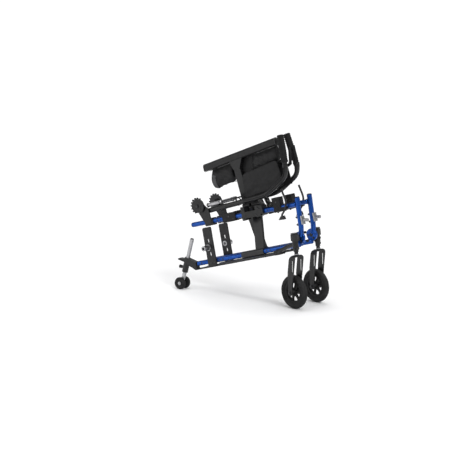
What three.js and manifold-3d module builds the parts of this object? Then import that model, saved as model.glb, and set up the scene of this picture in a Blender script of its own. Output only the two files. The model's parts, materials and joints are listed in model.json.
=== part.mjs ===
// A folding tilt in space wheelchair, folded flat, with its rear wheels, footrests and seat cushion off.
// It stands on two front casters and one rear anti-tip wheel pair. The back is folded forward, handles up.
// +X is forward, +Y the chair's left, +Z up, in millimetres. Most pieces are drawn in the tilted frame of
// one side: x along the frame tubes, y outboard from the plane of the tubes, z square to the tubes.
import * as THREE from "three";
import { mergeVertices } from "three/addons/utils/BufferGeometryUtils.js";
import Module from "manifold-3d";

const wasm = await Module();
wasm.setup();

// Driving dimensions
const framePitch = THREE.MathUtils.degToRad(15.5);
const frameSpacing = 91; // between the planes of the two side frames, folded
const gap = 0.3; // between pieces that touch
const overrun = 2; // how far a cutting tool passes a face
const weldSink = 1.5; // how far one piece of a weldment reaches into the next
const mergeGap = 1e-3;

const lowerTube = { start: 0, end: 580, radius: 11, height: 126, startX: 87.8, bore: 8.8, cap: 3 };
const upperTube = { start: 17, end: 613, rise: 174, radius: 10.75, bore: 8.6 };
const frontTube = { topX: 614, topZ: 203, kneeX: 602, kneeZ: 64, footX: 590, footZ: 32, radius: 11.5, bend: 30 };
const tiltDisc = { x: 584, z: 29, radius: 27, thickness: 14, hub: 9, boltRadius: 3.5, boltRing: 17, boltHeight: 3 };
const baseRail = { start: 52, end: 482, halfWidth: 10, top: -17, height: 10, wall: 2.5 };
const plate = { foot: -26, top: 152, width: 48, thickness: 6, corner: 8, x: 96, slotWidth: 8, slotLength: 17, leanX: 10 };
const axleSleeve = { radius: 11.5, length: 44, bore: 6.5, x: 90, z: 62, flange: 14, flangeThickness: 3 };
const clampBand = { wall: 4 };
const casterArm = { start: 447, blend: 28, height: 24, thickness: 13, hubX: 581, rootZ: -13, hubZ: 10 };
const housing = { offset: 36.5, radius: 13.5, top: 45, bottom: -20, flange: 16, flangeHeight: 6, bushRadius: 11, bush: 17 };
const stem = { lean: THREE.MathUtils.degToRad(7.5), radius: 6, collar: 8.5, collarHeight: 13, insert: 40 };
const wheel = { radius: 75, width: 27, rim: 52, hub: 13, hubWidth: 45, web: 7, spokes: 6, axle: 4.4, flat: 0.3 };
const fork = { trail: 37, inside: 46, blade: 6, crown: 9, bladeWidth: 35, shoulder: 21, slotWidth: 8, slotLength: 54 };
const swivelRest = THREE.MathUtils.degToRad(10);

const brace = { reach: 215, armX: [359, 308], armWidth: [46, 40], armDepth: 14, foot: 170, sleeve: 15.4 };
const braceKink = THREE.MathUtils.degToRad(7.4);
const braceTop = 210; // from the cross bolt to the seat rail along the upper half of an arm
const crossBolt = { radius: 6, head: 10, headHeight: 6, bossRadius: 14 };
const seatRail = { radius: 9.5, start: 128, end: 550, pitch: THREE.MathUtils.degToRad(6.9), padWall: 3, pad: 35 };
const seatSling = { drop: 108, rear: 160, front: 540, halfWidth: 8.5, frontHalfWidth: 9.7, bottomWidth: 22, armClear: 7 };
const saddle = { length: 36, wall: 7, height: 36, mouth: 11, frontX: 508, rearX: 235, rearLength: 70 };
const link = { footX: 408, footZ: 196, topX: 384, topZ: 272, width: 22, depth: 7 };
const bracket = { rear: 322, front: 410, width: 20, cheek: 8, top: 209, bottom: 148 };

const backPost = { x: 120, width: 44, thickness: 16, top: 262, discX: 84, discZ: 252, foot: 156 };
const reclineDisc = { radius: 36, thickness: 8, teeth: 24, toothDepth: 5, bore: 6 };
const cane = { radius: 11, startX: 100, startZ: 221, grow: 0.052, kneeX: 455, endX: 586, endZ: 303, topZ: 362 };
const caneBend = 42;
const grip = { length: 122, radius: 15.2, wall: 3.8, ridge: 0.9, ridges: 4, sides: 16 };
const gripLean = { near: THREE.MathUtils.degToRad(-4), far: THREE.MathUtils.degToRad(6.5) };
const handLever = { length: 74, thickness: 5, width: 11, reach: 26, pivotDrop: 12 };
const spring = { radius: 8.5, start: 122, length: 84, rod: 4, rodLength: 76, lift: 24, eye: 8 };
const cable = { radius: 2.2, sides: 6, steps: 26 };
const backLeaf = { thickness: 2.6, start: 392, end: 548, height: 118, corner: 22 };

const brake = { x: 503, leverX: 556, leverTop: 252, leverRadius: 4.5, shoeX: 527, shoeZ: 122 };
const brakeShoe = { length: 32, height: 15, width: 16 };
const hanger = { z: 102, height: 38, thickness: 4, width: 24, pinRadius: 7, pinLength: 27, boltRadius: 3.5 };

const antitip = { axleX: -3, radius: 27, width: 15, spacing: 19, axle: 4, tubeRadius: 9, tubeLength: 214 };
const antitipLean = THREE.MathUtils.degToRad(15.1); // the tube leans forward going up
const antitipArm = { height: 27, width: 24, sleeve: 14, sleeveTop: 40, sleeveFoot: 28 };
const pedal = { length: 46, thickness: 8, width: 26 };
const knob = { radius: 8, length: 14, stem: 3.5, stemLength: 11, along: 6 };

const tubeSides = 14;
const smallSides = 10;
const wheelSides = 32;

// Colours, roughness and metalness as the photograph shows them
const finishes = {
  bluePaint: { color: 0x0b3fa8, roughness: 0.3, metalness: 0.35 },
  blackPaint: { color: 0x1a1a1c, roughness: 0.45, metalness: 0.3 },
  blackPlastic: { color: 0x1c1c1e, roughness: 0.6, metalness: 0 },
  silver: { color: 0xc9cacc, roughness: 0.28, metalness: 0.9 },
  rubber: { color: 0x151515, roughness: 0.85, metalness: 0 },
  fabric: { color: 0x1e1e20, roughness: 0.95, metalness: 0 },
};

// Solids and meshes
function solidOf(geometry) {
  const bare = geometry.index ? geometry.toNonIndexed() : geometry.clone();
  bare.deleteAttribute("normal");
  bare.deleteAttribute("uv");
  const merged = mergeVertices(bare, mergeGap);
  const triVerts = new Uint32Array(merged.index.array);
  const make = () =>
    new wasm.Manifold(
      new wasm.Mesh({ numProp: 3, vertProperties: merged.attributes.position.array, triVerts }),
    );
  const first = make();
  if (first.volume() >= 0) return first;
  for (let i = 0; i < triVerts.length; i += 3) {
    [triVerts[i + 1], triVerts[i + 2]] = [triVerts[i + 2], triVerts[i + 1]];
  }
  return make();
}

function geometryOf(solid) {
  const mesh = solid.getMesh();
  const geometry = new THREE.BufferGeometry();
  geometry.setAttribute("position", new THREE.BufferAttribute(mesh.vertProperties, 3));
  geometry.setIndex(new THREE.BufferAttribute(mesh.triVerts, 1));
  geometry.computeVertexNormals();
  return geometry;
}

const join = (...parts) => geometryOf(parts.map(solidOf).reduce((sum, part) => sum.add(part)));
const cut = (part, ...tools) =>
  geometryOf(tools.map(solidOf).reduce((rest, tool) => rest.subtract(tool), solidOf(part)));
const trim = (part, keep) => geometryOf(solidOf(part).intersect(solidOf(keep)));

// A round bar between two points, or a taper where the second radius differs
function rod(from, to, radius, sides = smallSides, endRadius = radius) {
  const a = new THREE.Vector3(...from);
  const b = new THREE.Vector3(...to);
  const along = b.clone().sub(a);
  const geometry = new THREE.CylinderGeometry(endRadius, radius, along.length(), sides);
  const up = new THREE.Vector3(0, 1, 0);
  geometry.applyQuaternion(new THREE.Quaternion().setFromUnitVectors(up, along.normalize()));
  return geometry.translate(...a.add(b).divideScalar(2));
}

function block(x, y, z) {
  const geometry = new THREE.BoxGeometry(x[1] - x[0], y[1] - y[0], z[1] - z[0]);
  return geometry.translate((x[0] + x[1]) / 2, (y[0] + y[1]) / 2, (z[0] + z[1]) / 2);
}

// An outline in x and z, extruded across the chair from y = low to y = high
function slab(points, low, high, corner = 0, holes = []) {
  const shape = rounded(points, corner);
  for (const hole of holes) shape.holes.push(hole);
  const depth = high - low;
  const geometry = new THREE.ExtrudeGeometry(shape, { depth, bevelEnabled: false, curveSegments: 4 });
  return geometry.rotateX(Math.PI / 2).translate(0, high, 0);
}

function rounded(points, radius) {
  const shape = new THREE.Shape();
  const at = points.map((p) => new THREE.Vector2(...p));
  at.forEach((corner, i) => {
    const before = at[(i + at.length - 1) % at.length];
    const after = at[(i + 1) % at.length];
    const r = Math.min(radius, corner.distanceTo(before) / 2.2, corner.distanceTo(after) / 2.2);
    const enter = corner.clone().add(before.clone().sub(corner).setLength(r));
    const leave = corner.clone().add(after.clone().sub(corner).setLength(r));
    if (i === 0) shape.moveTo(enter.x, enter.y);
    else shape.lineTo(enter.x, enter.y);
    if (r > 0) shape.quadraticCurveTo(corner.x, corner.y, leave.x, leave.y);
  });
  shape.closePath();
  return shape;
}

function roundHole(x, z, radius, sides = smallSides) {
  const hole = new THREE.Path();
  const reach = radius / Math.cos(Math.PI / sides);
  for (let i = 0; i <= sides; i++) {
    const angle = (-2 * Math.PI * i) / sides;
    const point = [x + reach * Math.cos(angle), z + reach * Math.sin(angle)];
    if (i === 0) hole.moveTo(...point);
    else hole.lineTo(...point);
  }
  return hole;
}

function slot(x, z, width, length) {
  const reach = (length - width) / 2;
  const hole = new THREE.Path();
  hole.absarc(x, z + reach, width / 2, 0, Math.PI, false);
  hole.absarc(x, z - reach, width / 2, Math.PI, 2 * Math.PI, false);
  hole.closePath();
  return hole;
}

// A tube along a path whose corners are rounded, each with the same few steps
function pipe(points, radius, bend, sides = tubeSides, steps = 5) {
  const at = points.map((p) => new THREE.Vector3(...p));
  const path = [at[0]];
  for (let i = 1; i < at.length - 1; i++) {
    const r = Math.min(bend, at[i].distanceTo(at[i - 1]) / 2.1, at[i].distanceTo(at[i + 1]) / 2.1);
    const enter = at[i].clone().add(at[i - 1].clone().sub(at[i]).setLength(r));
    const leave = at[i].clone().add(at[i + 1].clone().sub(at[i]).setLength(r));
    path.push(...new THREE.QuadraticBezierCurve3(enter, at[i], leave).getPoints(steps));
  }
  path.push(at[at.length - 1]);
  return sweep(path, radius, sides);
}

// A closed tube through given points; no part of the route runs straight across the chair
function sweep(path, radius, sides) {
  const positions = [];
  const across = new THREE.Vector3(0, 1, 0);
  path.forEach((point, i) => {
    const before = path[Math.max(i - 1, 0)];
    const after = path[Math.min(i + 1, path.length - 1)];
    const into = point.clone().sub(before).normalize();
    const out = after.clone().sub(point).normalize();
    const tangent = into.add(out).normalize();
    const normal = new THREE.Vector3().crossVectors(tangent, across).normalize();
    const side = new THREE.Vector3().crossVectors(normal, tangent);
    for (let j = 0; j < sides; j++) {
      const angle = (2 * Math.PI * j) / sides;
      const rim = point.clone().addScaledVector(normal, radius * Math.cos(angle));
      positions.push(...rim.addScaledVector(side, radius * Math.sin(angle)).toArray());
    }
  });
  positions.push(...path[0].toArray(), ...path[path.length - 1].toArray());
  return skinned(positions, path.length, sides);
}

// Faces between rings of points, closed at both ends by the last two points
function skinned(positions, rings, sides) {
  const index = [];
  for (let i = 0; i < rings - 1; i++) {
    for (let j = 0; j < sides; j++) {
      const a = i * sides + j;
      const b = i * sides + ((j + 1) % sides);
      index.push(a, a + sides, b, b, a + sides, b + sides);
    }
  }
  const [head, tail, last] = [rings * sides, rings * sides + 1, (rings - 1) * sides];
  for (let j = 0; j < sides; j++) {
    const next = (j + 1) % sides;
    index.push(head, j, next, tail, last + next, last + j);
  }
  const geometry = new THREE.BufferGeometry();
  geometry.setAttribute("position", new THREE.Float32BufferAttribute(positions, 3));
  geometry.setIndex(index);
  return geometry;
}

// A turned form about the y axis through x, z: the profile is radius, y pairs from axis to axis
function turned(profile, x, z, sides = wheelSides) {
  const points = profile.map((p) => new THREE.Vector2(...p));
  return new THREE.LatheGeometry(points, sides).translate(x, 0, z);
}

// Side frame, painted blue
function lowerTubeForm() {
  const { start, end, radius, bore, cap } = lowerTube;
  const outside = rod([start, 0, 0], [end, 0, 0], radius, tubeSides);
  const inside = rod([start + cap, 0, 0], [end + overrun, 0, 0], bore, tubeSides);
  return cut(outside, inside);
}

function upperTubeForm() {
  const { start, end, rise, radius, bore } = upperTube;
  const outside = rod([start, 0, rise], [end - frontTube.radius + weldSink, 0, rise], radius, tubeSides);
  const inside = rod([start - overrun, 0, rise], [end - frontTube.radius * 2, 0, rise], bore, tubeSides);
  return cut(outside, inside);
}

// The front tube and the round tilt plate welded to its foot
function frontTubeForm() {
  const f = frontTube;
  const d = tiltDisc;
  const stub = [f.topX + (f.radius / f.bend) * f.radius, 0, f.topZ];
  const tube = pipe([[stub[0] - f.radius / 2, 0, f.topZ], [f.kneeX, 0, f.kneeZ], [f.footX, 0, f.footZ]], f.radius,
    f.bend);
  const disc = rod([d.x, -d.thickness / 2, d.z], [d.x, d.thickness / 2, d.z], d.radius, wheelSides);
  const seat = rod([upperTube.end - f.radius * 4, 0, upperTube.rise],
    [upperTube.end - f.radius + weldSink + gap, 0, upperTube.rise], upperTube.radius + gap, tubeSides);
  const bolts = [1, 3, 5].map((turn) => {
    const x = d.x + d.boltRing * Math.cos((turn * Math.PI) / 3);
    const z = d.z + d.boltRing * Math.sin((turn * Math.PI) / 3);
    const face = d.thickness / 2;
    return rod([x, -face - d.boltHeight, z], [x, face + d.boltHeight, z], d.boltRadius);
  });
  const pivot = rod([d.x, -d.thickness, d.z], [d.x, d.thickness, d.z], d.hub + gap, tubeSides);
  const below = rod([lowerTube.end / 2, 0, 0], [lowerTube.end + gap, 0, 0], lowerTube.radius + gap, tubeSides);
  return cut(join(tube, disc, ...bolts), seat, below, pivot);
}

// Saddles that catch the seat rail when the chair is opened
function saddleForm(x, length, height) {
  const r = upperTube.radius + gap;
  const w = saddle.wall;
  const low = upperTube.rise - r - w;
  const high = upperTube.rise + r + height;
  const outline = [[-length / 2, low], [length / 2, low], [length / 2 + w / 2, high], [-length / 2 - w / 2, high]];
  const body = slab(outline.map(([a, b]) => [x + a, b]), -r - w / 2, r + w / 2, w / 2);
  const bore = rod([x - length, 0, upperTube.rise], [x + length, 0, upperTube.rise], r, tubeSides);
  const cradle = rod([x - length, 0, high + saddle.mouth / 3], [x + length, 0, high + saddle.mouth / 3], saddle.mouth,
    tubeSides);
  return cut(body, bore, cradle);
}

// A two-cheek bracket on the upper tube that guides the brace and carries its link
function bracketForm() {
  const b = bracket;
  const r = upperTube.radius + gap;
  const outer = r + b.cheek;
  const column = slab([[b.rear - b.width / 2, b.bottom], [b.rear + b.width / 2, b.bottom],
    [b.rear + b.width / 2, b.top], [b.rear - b.width / 2, b.top]], -outer, outer, b.cheek / 2);
  const head = slab([[b.front - b.width, b.bottom + b.cheek / 2], [b.front + b.width, b.bottom + b.cheek],
    [b.front + b.width, b.top - b.cheek], [b.front - b.width, b.top - b.cheek / 2]], -outer, outer, b.cheek,
  [roundHole(b.front + b.width / 2, b.bottom + b.cheek * 1.6, b.cheek / 2)]);
  const web = block([b.rear, b.front], [r - weldSink, outer - gap], [b.bottom + b.cheek, upperTube.rise + r]);
  const bore = rod([b.rear - b.width, 0, upperTube.rise], [b.front + b.width * 2, 0, upperTube.rise], r, tubeSides);
  const bolt = rod([b.front - b.width / 3, outer - weldSink, b.top - b.cheek * 2],
    [b.front - b.width / 3, outer + b.cheek / 2, b.top - b.cheek * 2], b.cheek * 0.6, 6);
  const knobStem = rod([b.rear - b.width / 2 + weldSink, 0, b.top - b.cheek],
    [b.rear - b.width, 0, b.top - b.cheek], b.cheek * 0.8);
  return cut(join(column, head, web, bolt, knobStem), bore);
}

// The mottled link between the bracket and the brace
function linkForm() {
  const l = link;
  const along = new THREE.Vector2(l.topX - l.footX, l.topZ - l.footZ).normalize().multiplyScalar(l.width / 2);
  const side = new THREE.Vector2(-along.y, along.x);
  const corner = (x, z, a, b) => [x + along.x * a + side.x * b, z + along.y * a + side.y * b];
  const outline = [corner(l.footX, l.footZ, -1, 1), corner(l.footX, l.footZ, -1, -1), corner(l.topX, l.topZ, 1, -1),
    corner(l.topX, l.topZ, 1, 1)];
  const low = -upperTube.radius - bracket.cheek - gap * 2 - l.depth;
  return slab(outline, low, low + l.depth, l.width / 2.4, [roundHole(l.footX, l.footZ, l.depth / 2),
    roundHole(l.topX, l.topZ, l.depth / 2)]);
}

// Back: post with its toothed recline disc, cane, grip, release lever, gas spring and cable
function backPostForm() {
  const p = backPost;
  const r = upperTube.radius + gap;
  const outer = r + clampBand.wall;
  const low = cane.radius + gap * 3;
  const clamp = slab([[p.x - p.width / 2, p.foot], [p.x + p.width / 2, p.foot],
    [p.x + p.width / 2, upperTube.rise + outer], [p.x - p.width / 2, upperTube.rise + outer]], -outer, outer,
  clampBand.wall);
  const arm = slab([[p.x - p.width / 2, upperTube.rise], [p.x + p.width / 2.6, upperTube.rise],
    [p.x + p.width / 3, cane.startZ + cane.radius], [p.discX + p.width / 3, p.top],
    [p.discX - p.width / 3, p.top], [p.discX - p.width / 3, p.discZ - p.width / 3]], low, low + p.thickness / 3,
  p.thickness / 3);
  const bridge = block([p.x - p.width / 2.2, p.x + p.width / 3], [r - weldSink, low + p.thickness / 3],
    [upperTube.rise - r, upperTube.rise + outer]);
  const pin = rod([p.discX, low, p.discZ], [p.discX, low + p.thickness, p.discZ], reclineDisc.bore - gap);
  const bore = rod([p.x - p.width, 0, upperTube.rise], [p.x + p.width, 0, upperTube.rise], r, tubeSides);
  return cut(join(clamp, arm, bridge, pin), bore);
}

// The lock disc of the recline hinge: teeth round its upper rear, a flat at its lower rear
function reclineDiscForm() {
  const d = reclineDisc;
  const p = backPost;
  const low = cane.radius + gap * 3 + p.thickness / 3 + gap;
  const outline = [];
  for (let i = 0; i < d.teeth; i++) {
    const turn = (2 * Math.PI) / d.teeth;
    const middle = i * turn;
    const toothed = middle > 0.8 && middle < 4;
    const tip = toothed ? d.radius : d.radius - d.toothDepth / 2;
    const root = d.radius - (toothed ? d.toothDepth : d.toothDepth / 2);
    for (const [share, radius] of [[0, root], [0.28, tip], [0.5, tip], [0.78, root]]) {
      const angle = middle + share * turn;
      outline.push([p.discX + radius * Math.cos(angle), p.discZ + radius * Math.sin(angle)]);
    }
  }
  const disc = slab(outline, low, low + d.thickness, 0, [roundHole(p.discX, p.discZ, d.bore)]);
  const flat = block([p.discX - d.radius * 2, p.discX + d.radius * 2], [low - overrun, low + d.thickness + overrun],
    [p.discZ - d.radius * 2, p.discZ - d.radius * 0.82]);
  return cut(disc, flat);
}

// The cane's centre line, and the direction of the handle at its end
function canePoints(lean) {
  const c = cane;
  const kneeZ = c.startZ + (c.kneeX - c.startX) * c.grow;
  const top = [c.endX - Math.tan(lean) * (c.topZ - c.endZ), 0, c.topZ];
  return [[c.startX, 0, c.startZ], [c.kneeX, 0, kneeZ], [c.endX, 0, c.endZ], top];
}

function handleEnd(lean) {
  const [, , knee, top] = canePoints(lean);
  const from = new THREE.Vector3(...top);
  const along = from.clone().sub(new THREE.Vector3(...knee)).normalize();
  return { from, along, at: (d) => from.clone().addScaledVector(along, d).toArray() };
}

function caneForm(lean) {
  const c = cane;
  const p = backPost;
  const end = handleEnd(lean);
  const points = canePoints(lean);
  points[3] = end.at(grip.length - grip.wall * 2);
  const tube = pipe(points, c.radius, caneBend);
  const lug = slab([[c.startX - c.radius * 1.6, c.startZ - c.radius], [c.startX + c.radius * 4, c.startZ - c.radius],
    [c.startX + c.radius * 4, c.startZ + c.radius / 2], [c.startX + c.radius * 1.4, c.startZ + c.radius],
    [p.discX + c.radius, p.discZ + c.radius],
    [p.discX - c.radius, p.discZ + c.radius], [p.discX - c.radius, p.discZ - c.radius]], -c.radius / 2,
  c.radius / 2, c.radius / 2);
  const pin = rod([p.discX, 0, p.discZ], [p.discX, c.radius, p.discZ], reclineDisc.bore);
  const carrier = block([spring.start - c.radius, spring.start], [-c.radius / 2, c.radius / 2],
    [c.startZ, c.startZ + spring.lift - spring.radius - gap]);
  return join(tube, lug, pin, carrier);
}

function gripForm(lean) {
  const end = handleEnd(lean);
  const g = grip;
  const inside = cane.radius + gap;
  const depth = g.length - g.wall * 2 + gap;
  const profile = [[inside, gap], [g.radius + g.ridge, gap], [g.radius + g.ridge, g.wall * 2]];
  for (let i = 0; i < g.ridges; i++) {
    const at = (share) => g.wall * 2.4 + ((i + share) / g.ridges) * (g.length - g.wall * 4);
    profile.push([g.radius - g.ridge, at(0)], [g.radius + g.ridge / 2, at(0.3)], [g.radius + g.ridge / 2, at(0.7)],
      [g.radius - g.ridge, at(1)]);
  }
  profile.push([g.radius - g.wall / 2, g.length], [0, g.length], [0, depth], [inside, depth], [inside, gap]);
  const form = new THREE.LatheGeometry(profile.map((p) => new THREE.Vector2(...p)), g.sides);
  const up = new THREE.Vector3(0, 1, 0);
  form.applyQuaternion(new THREE.Quaternion().setFromUnitVectors(up, end.along));
  return geometryOf(solidOf(form.translate(...end.from.toArray())));
}

function handLeverForm(lean) {
  const h = handLever;
  const end = handleEnd(lean);
  const ahead = new THREE.Vector3(0, 0, 0).crossVectors(new THREE.Vector3(0, 1, 0), end.along).normalize();
  const at = (along, out) => end.from.clone().addScaledVector(end.along, along).addScaledVector(ahead, out);
  const flat = (p) => [p.x, p.z];
  const near = -cane.radius - gap - h.thickness;
  const outline = [at(-h.pivotDrop - h.width, -h.width / 2), at(-h.pivotDrop - h.width, h.width / 2),
    at(-h.pivotDrop, h.reach), at(h.length - h.pivotDrop, h.reach + h.width / 2),
    at(h.length - h.pivotDrop, h.reach - h.width / 3), at(0, h.reach - h.width)];
  const blade = slab(outline.map(flat), near, near + h.thickness, h.width / 3);
  return blade;
}

function springForm() {
  const s = spring;
  const c = cane;
  const z = (x) => c.startZ + (x - c.startX) * c.grow + s.lift;
  const rise = (x) => [x, 0, z(x)];
  const end = s.start + s.length;
  const body = rod(rise(s.start + gap), rise(end), s.radius, tubeSides);
  const ring = rod(rise(end - s.eye), rise(end - s.eye / 2), s.radius + weldSink, tubeSides);
  const shaft = rod(rise(end - weldSink), rise(end + s.rodLength), s.rod);
  const nut = rod(rise(end + s.rodLength - s.eye), rise(end + s.rodLength + s.eye), s.rod + weldSink * 2, 8);
  const foot = block([end + s.rodLength, end + s.rodLength + s.eye], [-s.rod, s.rod],
    [z(end + s.rodLength) - s.lift + c.radius + gap * 2, z(end + s.rodLength)]);
  return join(body, ring, shaft, nut, foot);
}

// The release cable: from the lever, in a loop below the bend, back along the cane to the gas spring
const cableRoute = [
  [587, 13.6, 350], [586, 13.9, 334], [577, 14, 309], [560, 13.8, 292], [530, 13.7, 276], [498, 13.7, 260],
  [462, 13.7, 243], [424, 13.7, 238], [380, 13.7, 236], [344, 13.7, 236], [322, 12, 243], [308, 7, 251], [297, 3, 255],
];

function cableForm() {
  const curve = new THREE.CatmullRomCurve3(cableRoute.map((p) => new THREE.Vector3(...p)));
  return sweep(curve.getPoints(cable.steps), cable.radius, cable.sides);
}

// One half of the back upholstery, standing up from the cane on its inboard side
function backLeafForm() {
  const b = backLeaf;
  const low = -cane.radius - gap - b.thickness;
  const z = (x) => cane.startZ + (x - cane.startX) * cane.grow + cane.radius / 2;
  return slab([[b.start, z(b.start)], [b.end, z(b.end) + cane.radius * 2], [b.end - b.corner / 3, z(b.end) + b.height],
    [b.start + b.corner / 3, z(b.start) + b.height]], low - gap, low + b.thickness - gap, b.corner);
}

// The front saddle's clamp also holds the brake: a tongue with the lever's pivot pin, and a clamping screw
function frontSaddleForm() {
  const b = brake;
  const r = upperTube.radius + gap;
  const w = clampBand.wall;
  const low = upperTube.rise - r - saddle.wall;
  const seat = saddleForm(saddle.frontX, saddle.length, saddle.height);
  const tongue = slab([[b.x, low + w / 2], [b.leverX + w * 2, low + w / 2], [b.leverX + w * 2, upperTube.rise],
    [b.x, upperTube.rise]], r, r + w, w);
  const screw = rod([b.x - w, 0, low + weldSink], [b.x - w, 0, low - w], w);
  const pin = rod([b.leverX, r, upperTube.rise - r], [b.leverX, r + w * 2.4, upperTube.rise - r], w * 0.6);
  return join(seat, tongue, screw, pin);
}

function brakeLeverForm() {
  const b = brake;
  const s = brakeShoe;
  const r = upperTube.radius + gap;
  const w = clampBand.wall;
  const y = r + w + gap + b.leverRadius;
  const pivotZ = upperTube.rise - r;
  const handle = pipe([[b.shoeX, y, b.shoeZ + s.height / 2], [b.shoeX + w, y, pivotZ - w * 5],
    [b.leverX, y, pivotZ], [b.leverX + w * 3, y, upperTube.rise + r * 2], [b.leverX, y, b.leverTop]], b.leverRadius,
  w * 4, 8, 3);
  const boss = rod([b.leverX, y - b.leverRadius, pivotZ], [b.leverX, y + b.leverRadius, pivotZ], w * 1.7);
  const shoe = slab([[b.shoeX - s.length / 2, b.shoeZ], [b.shoeX + s.length / 2, b.shoeZ - w / 2],
    [b.shoeX + s.length / 2.6, b.shoeZ + s.height], [b.shoeX, b.shoeZ + s.height]], y - s.width / 2,
  y + s.width / 2, w / 3);
  const hole = rod([b.leverX, r, pivotZ], [b.leverX, r + w * 4, pivotZ], w * 0.6 + gap);
  return cut(join(handle, boss, shoe), hole);
}

// Silver strike bracket and pin that the footrest hooks on to
function hangerForm() {
  const h = hanger;
  const f = frontTube;
  const x = f.kneeX + ((f.topX - f.kneeX) * (h.z - f.kneeZ)) / (f.topZ - f.kneeZ) + f.radius + gap;
  const low = h.z - h.height / 2;
  const sheet = block([x + weldSink, x + weldSink + h.thickness], [-h.width / 2, h.width / 2], [low, low + h.height]);
  const pin = rod([x + weldSink, 0, h.z], [x + h.thickness + h.pinLength, 0, h.z - h.pinRadius / 2], h.pinRadius, 12);
  const head = rod([x + weldSink, 0, h.z + h.height / 3], [x + h.thickness * 2, 0, h.z + h.height / 3], h.boltRadius, 6);
  return join(sheet, pin, head);
}

// Base, painted black: rail under the lower tube, axle plate, axle sleeve and caster arm
function baseRailForm() {
  const b = baseRail;
  const bottom = b.top - b.height;
  const bar = block([b.start, b.end], [-b.halfWidth, b.halfWidth], [bottom, b.top]);
  const groove = block([b.start - overrun, b.end + overrun], [-b.halfWidth + b.wall, b.halfWidth - b.wall],
    [bottom - overrun, b.top - b.wall]);
  return cut(bar, groove);
}

function axlePlateForm() {
  const p = plate;
  const low = baseRail.halfWidth + gap;
  const face = lowerTube.radius + gap * 3;
  const half = p.width / 2;
  const middle = (p.top + p.foot) / 2;
  const shift = (z) => p.x + (p.leanX * (z - middle)) / (p.top - p.foot);
  const holes = [slot(shift(p.slotLength * 2), p.slotLength * 1.9, p.slotWidth, p.slotLength),
    slot(shift(p.top / 2), p.slotLength * 5.4, p.slotWidth, p.slotLength),
    roundHole(axleSleeve.x, axleSleeve.z, axleSleeve.radius + gap, tubeSides)];
  const outline = [[shift(p.foot) - half, p.foot], [shift(p.foot) + half, p.foot], [shift(p.top) + half, p.top],
    [shift(p.top) - half, p.top]];
  const sheet = slab(outline, face, face + p.thickness, p.corner, holes);
  const lip = block([p.x - half / 1.2, p.x + half / 1.2], [low, face + weldSink],
    [baseRail.top - baseRail.height, baseRail.top]);
  return join(sheet, lip);
}

function axleSleeveForm() {
  const a = axleSleeve;
  const face = lowerTube.radius + gap * 3;
  const start = face - gap * 2;
  const seat = face + plate.thickness + gap;
  const body = rod([a.x, start, a.z], [a.x, face + a.length, a.z], a.radius, 16);
  const flange = rod([a.x, seat, a.z], [a.x, seat + a.flangeThickness, a.z], a.flange, 16);
  const bore = rod([a.x, start - overrun, a.z], [a.x, face + a.length + overrun, a.z], a.bore, 12);
  return cut(join(body, flange), bore);
}

function casterArmForm(place) {
  const c = casterArm;
  const h = housing;
  const low = baseRail.halfWidth + gap;
  const face = frontTube.radius + gap * 2;
  const root = slab([[c.start, baseRail.top - baseRail.height], [baseRail.end, baseRail.top - baseRail.height],
    [baseRail.end, baseRail.top + c.height / 2], [c.start, baseRail.top + c.height / 2]], lowerTube.radius + gap * 3,
  lowerTube.radius + gap * 3 + c.thickness, c.height / 5);
  const lip = block([c.start + gap, baseRail.end - gap], [low, lowerTube.radius + c.thickness / 2],
    [baseRail.top - baseRail.height, baseRail.top]);
  const from = new THREE.Vector3((c.start + baseRail.end) / 2, lowerTube.radius + gap * 3 + c.thickness / 2, c.rootZ);
  const hub = place(c.hubX, h.offset, c.hubZ);
  const to = new THREE.Vector3(...hub).add(new THREE.Vector3(0, 0, 0));
  const arm = pipe([from.toArray(), [c.start + c.blend * 2.6, from.y + c.thickness / 2, c.rootZ + c.height / 2],
    to.toArray()], c.thickness / 1.5, c.blend, 10);
  const down = new THREE.Vector3(0, 0, 1).applyAxisAngle(new THREE.Vector3(0, 1, 0), framePitch - stem.lean);
  const along = (d) => to.clone().addScaledVector(down, d).toArray();
  const body = rod(along(h.bottom), along(h.top), h.radius, 16);
  const flange = rod(along(h.top - h.flangeHeight), along(h.top), h.flange, 8);
  const bush = rod(along(h.bottom - h.bush), along(h.bottom + weldSink), h.bushRadius, 12);
  const bore = rod(along(h.bottom - h.bush - overrun), along(h.top - h.flangeHeight), stem.radius + gap, 12);
  const ear = rod([tiltDisc.x, face, tiltDisc.z], [tiltDisc.x, h.offset - h.radius / 2, tiltDisc.z],
    tiltDisc.hub + clampBand.wall, 14);
  const pin = rod([tiltDisc.x, -tiltDisc.thickness / 2, tiltDisc.z], [tiltDisc.x, h.offset, tiltDisc.z],
    tiltDisc.hub, 14);
  const clear = rod([tiltDisc.x, -tiltDisc.thickness, tiltDisc.z], [tiltDisc.x, face, tiltDisc.z],
    tiltDisc.radius * 2, wheelSides);
  return cut(join(cut(join(root, lip, arm, body, flange, bush, ear), clear), pin), bore);
}

// Cross-brace: each arm is hinged on one lower tube, crosses the other at the bolt, and ends in a seat rail
const braceLean = Math.asin(frameSpacing / 2 / brace.reach);
const crossHeight = brace.reach * Math.cos(braceLean);
const railMiddle = (brace.armX[0] + brace.armX[1]) / 2;
const railSide = braceTop * Math.sin(braceLean - braceKink);

// The height of a seat rail's centre line at x
const railHeight = (x) =>
  crossHeight + braceTop * Math.cos(braceLean - braceKink) + seatRail.radius + (x - railMiddle) * Math.tan(seatRail.pitch);

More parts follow.
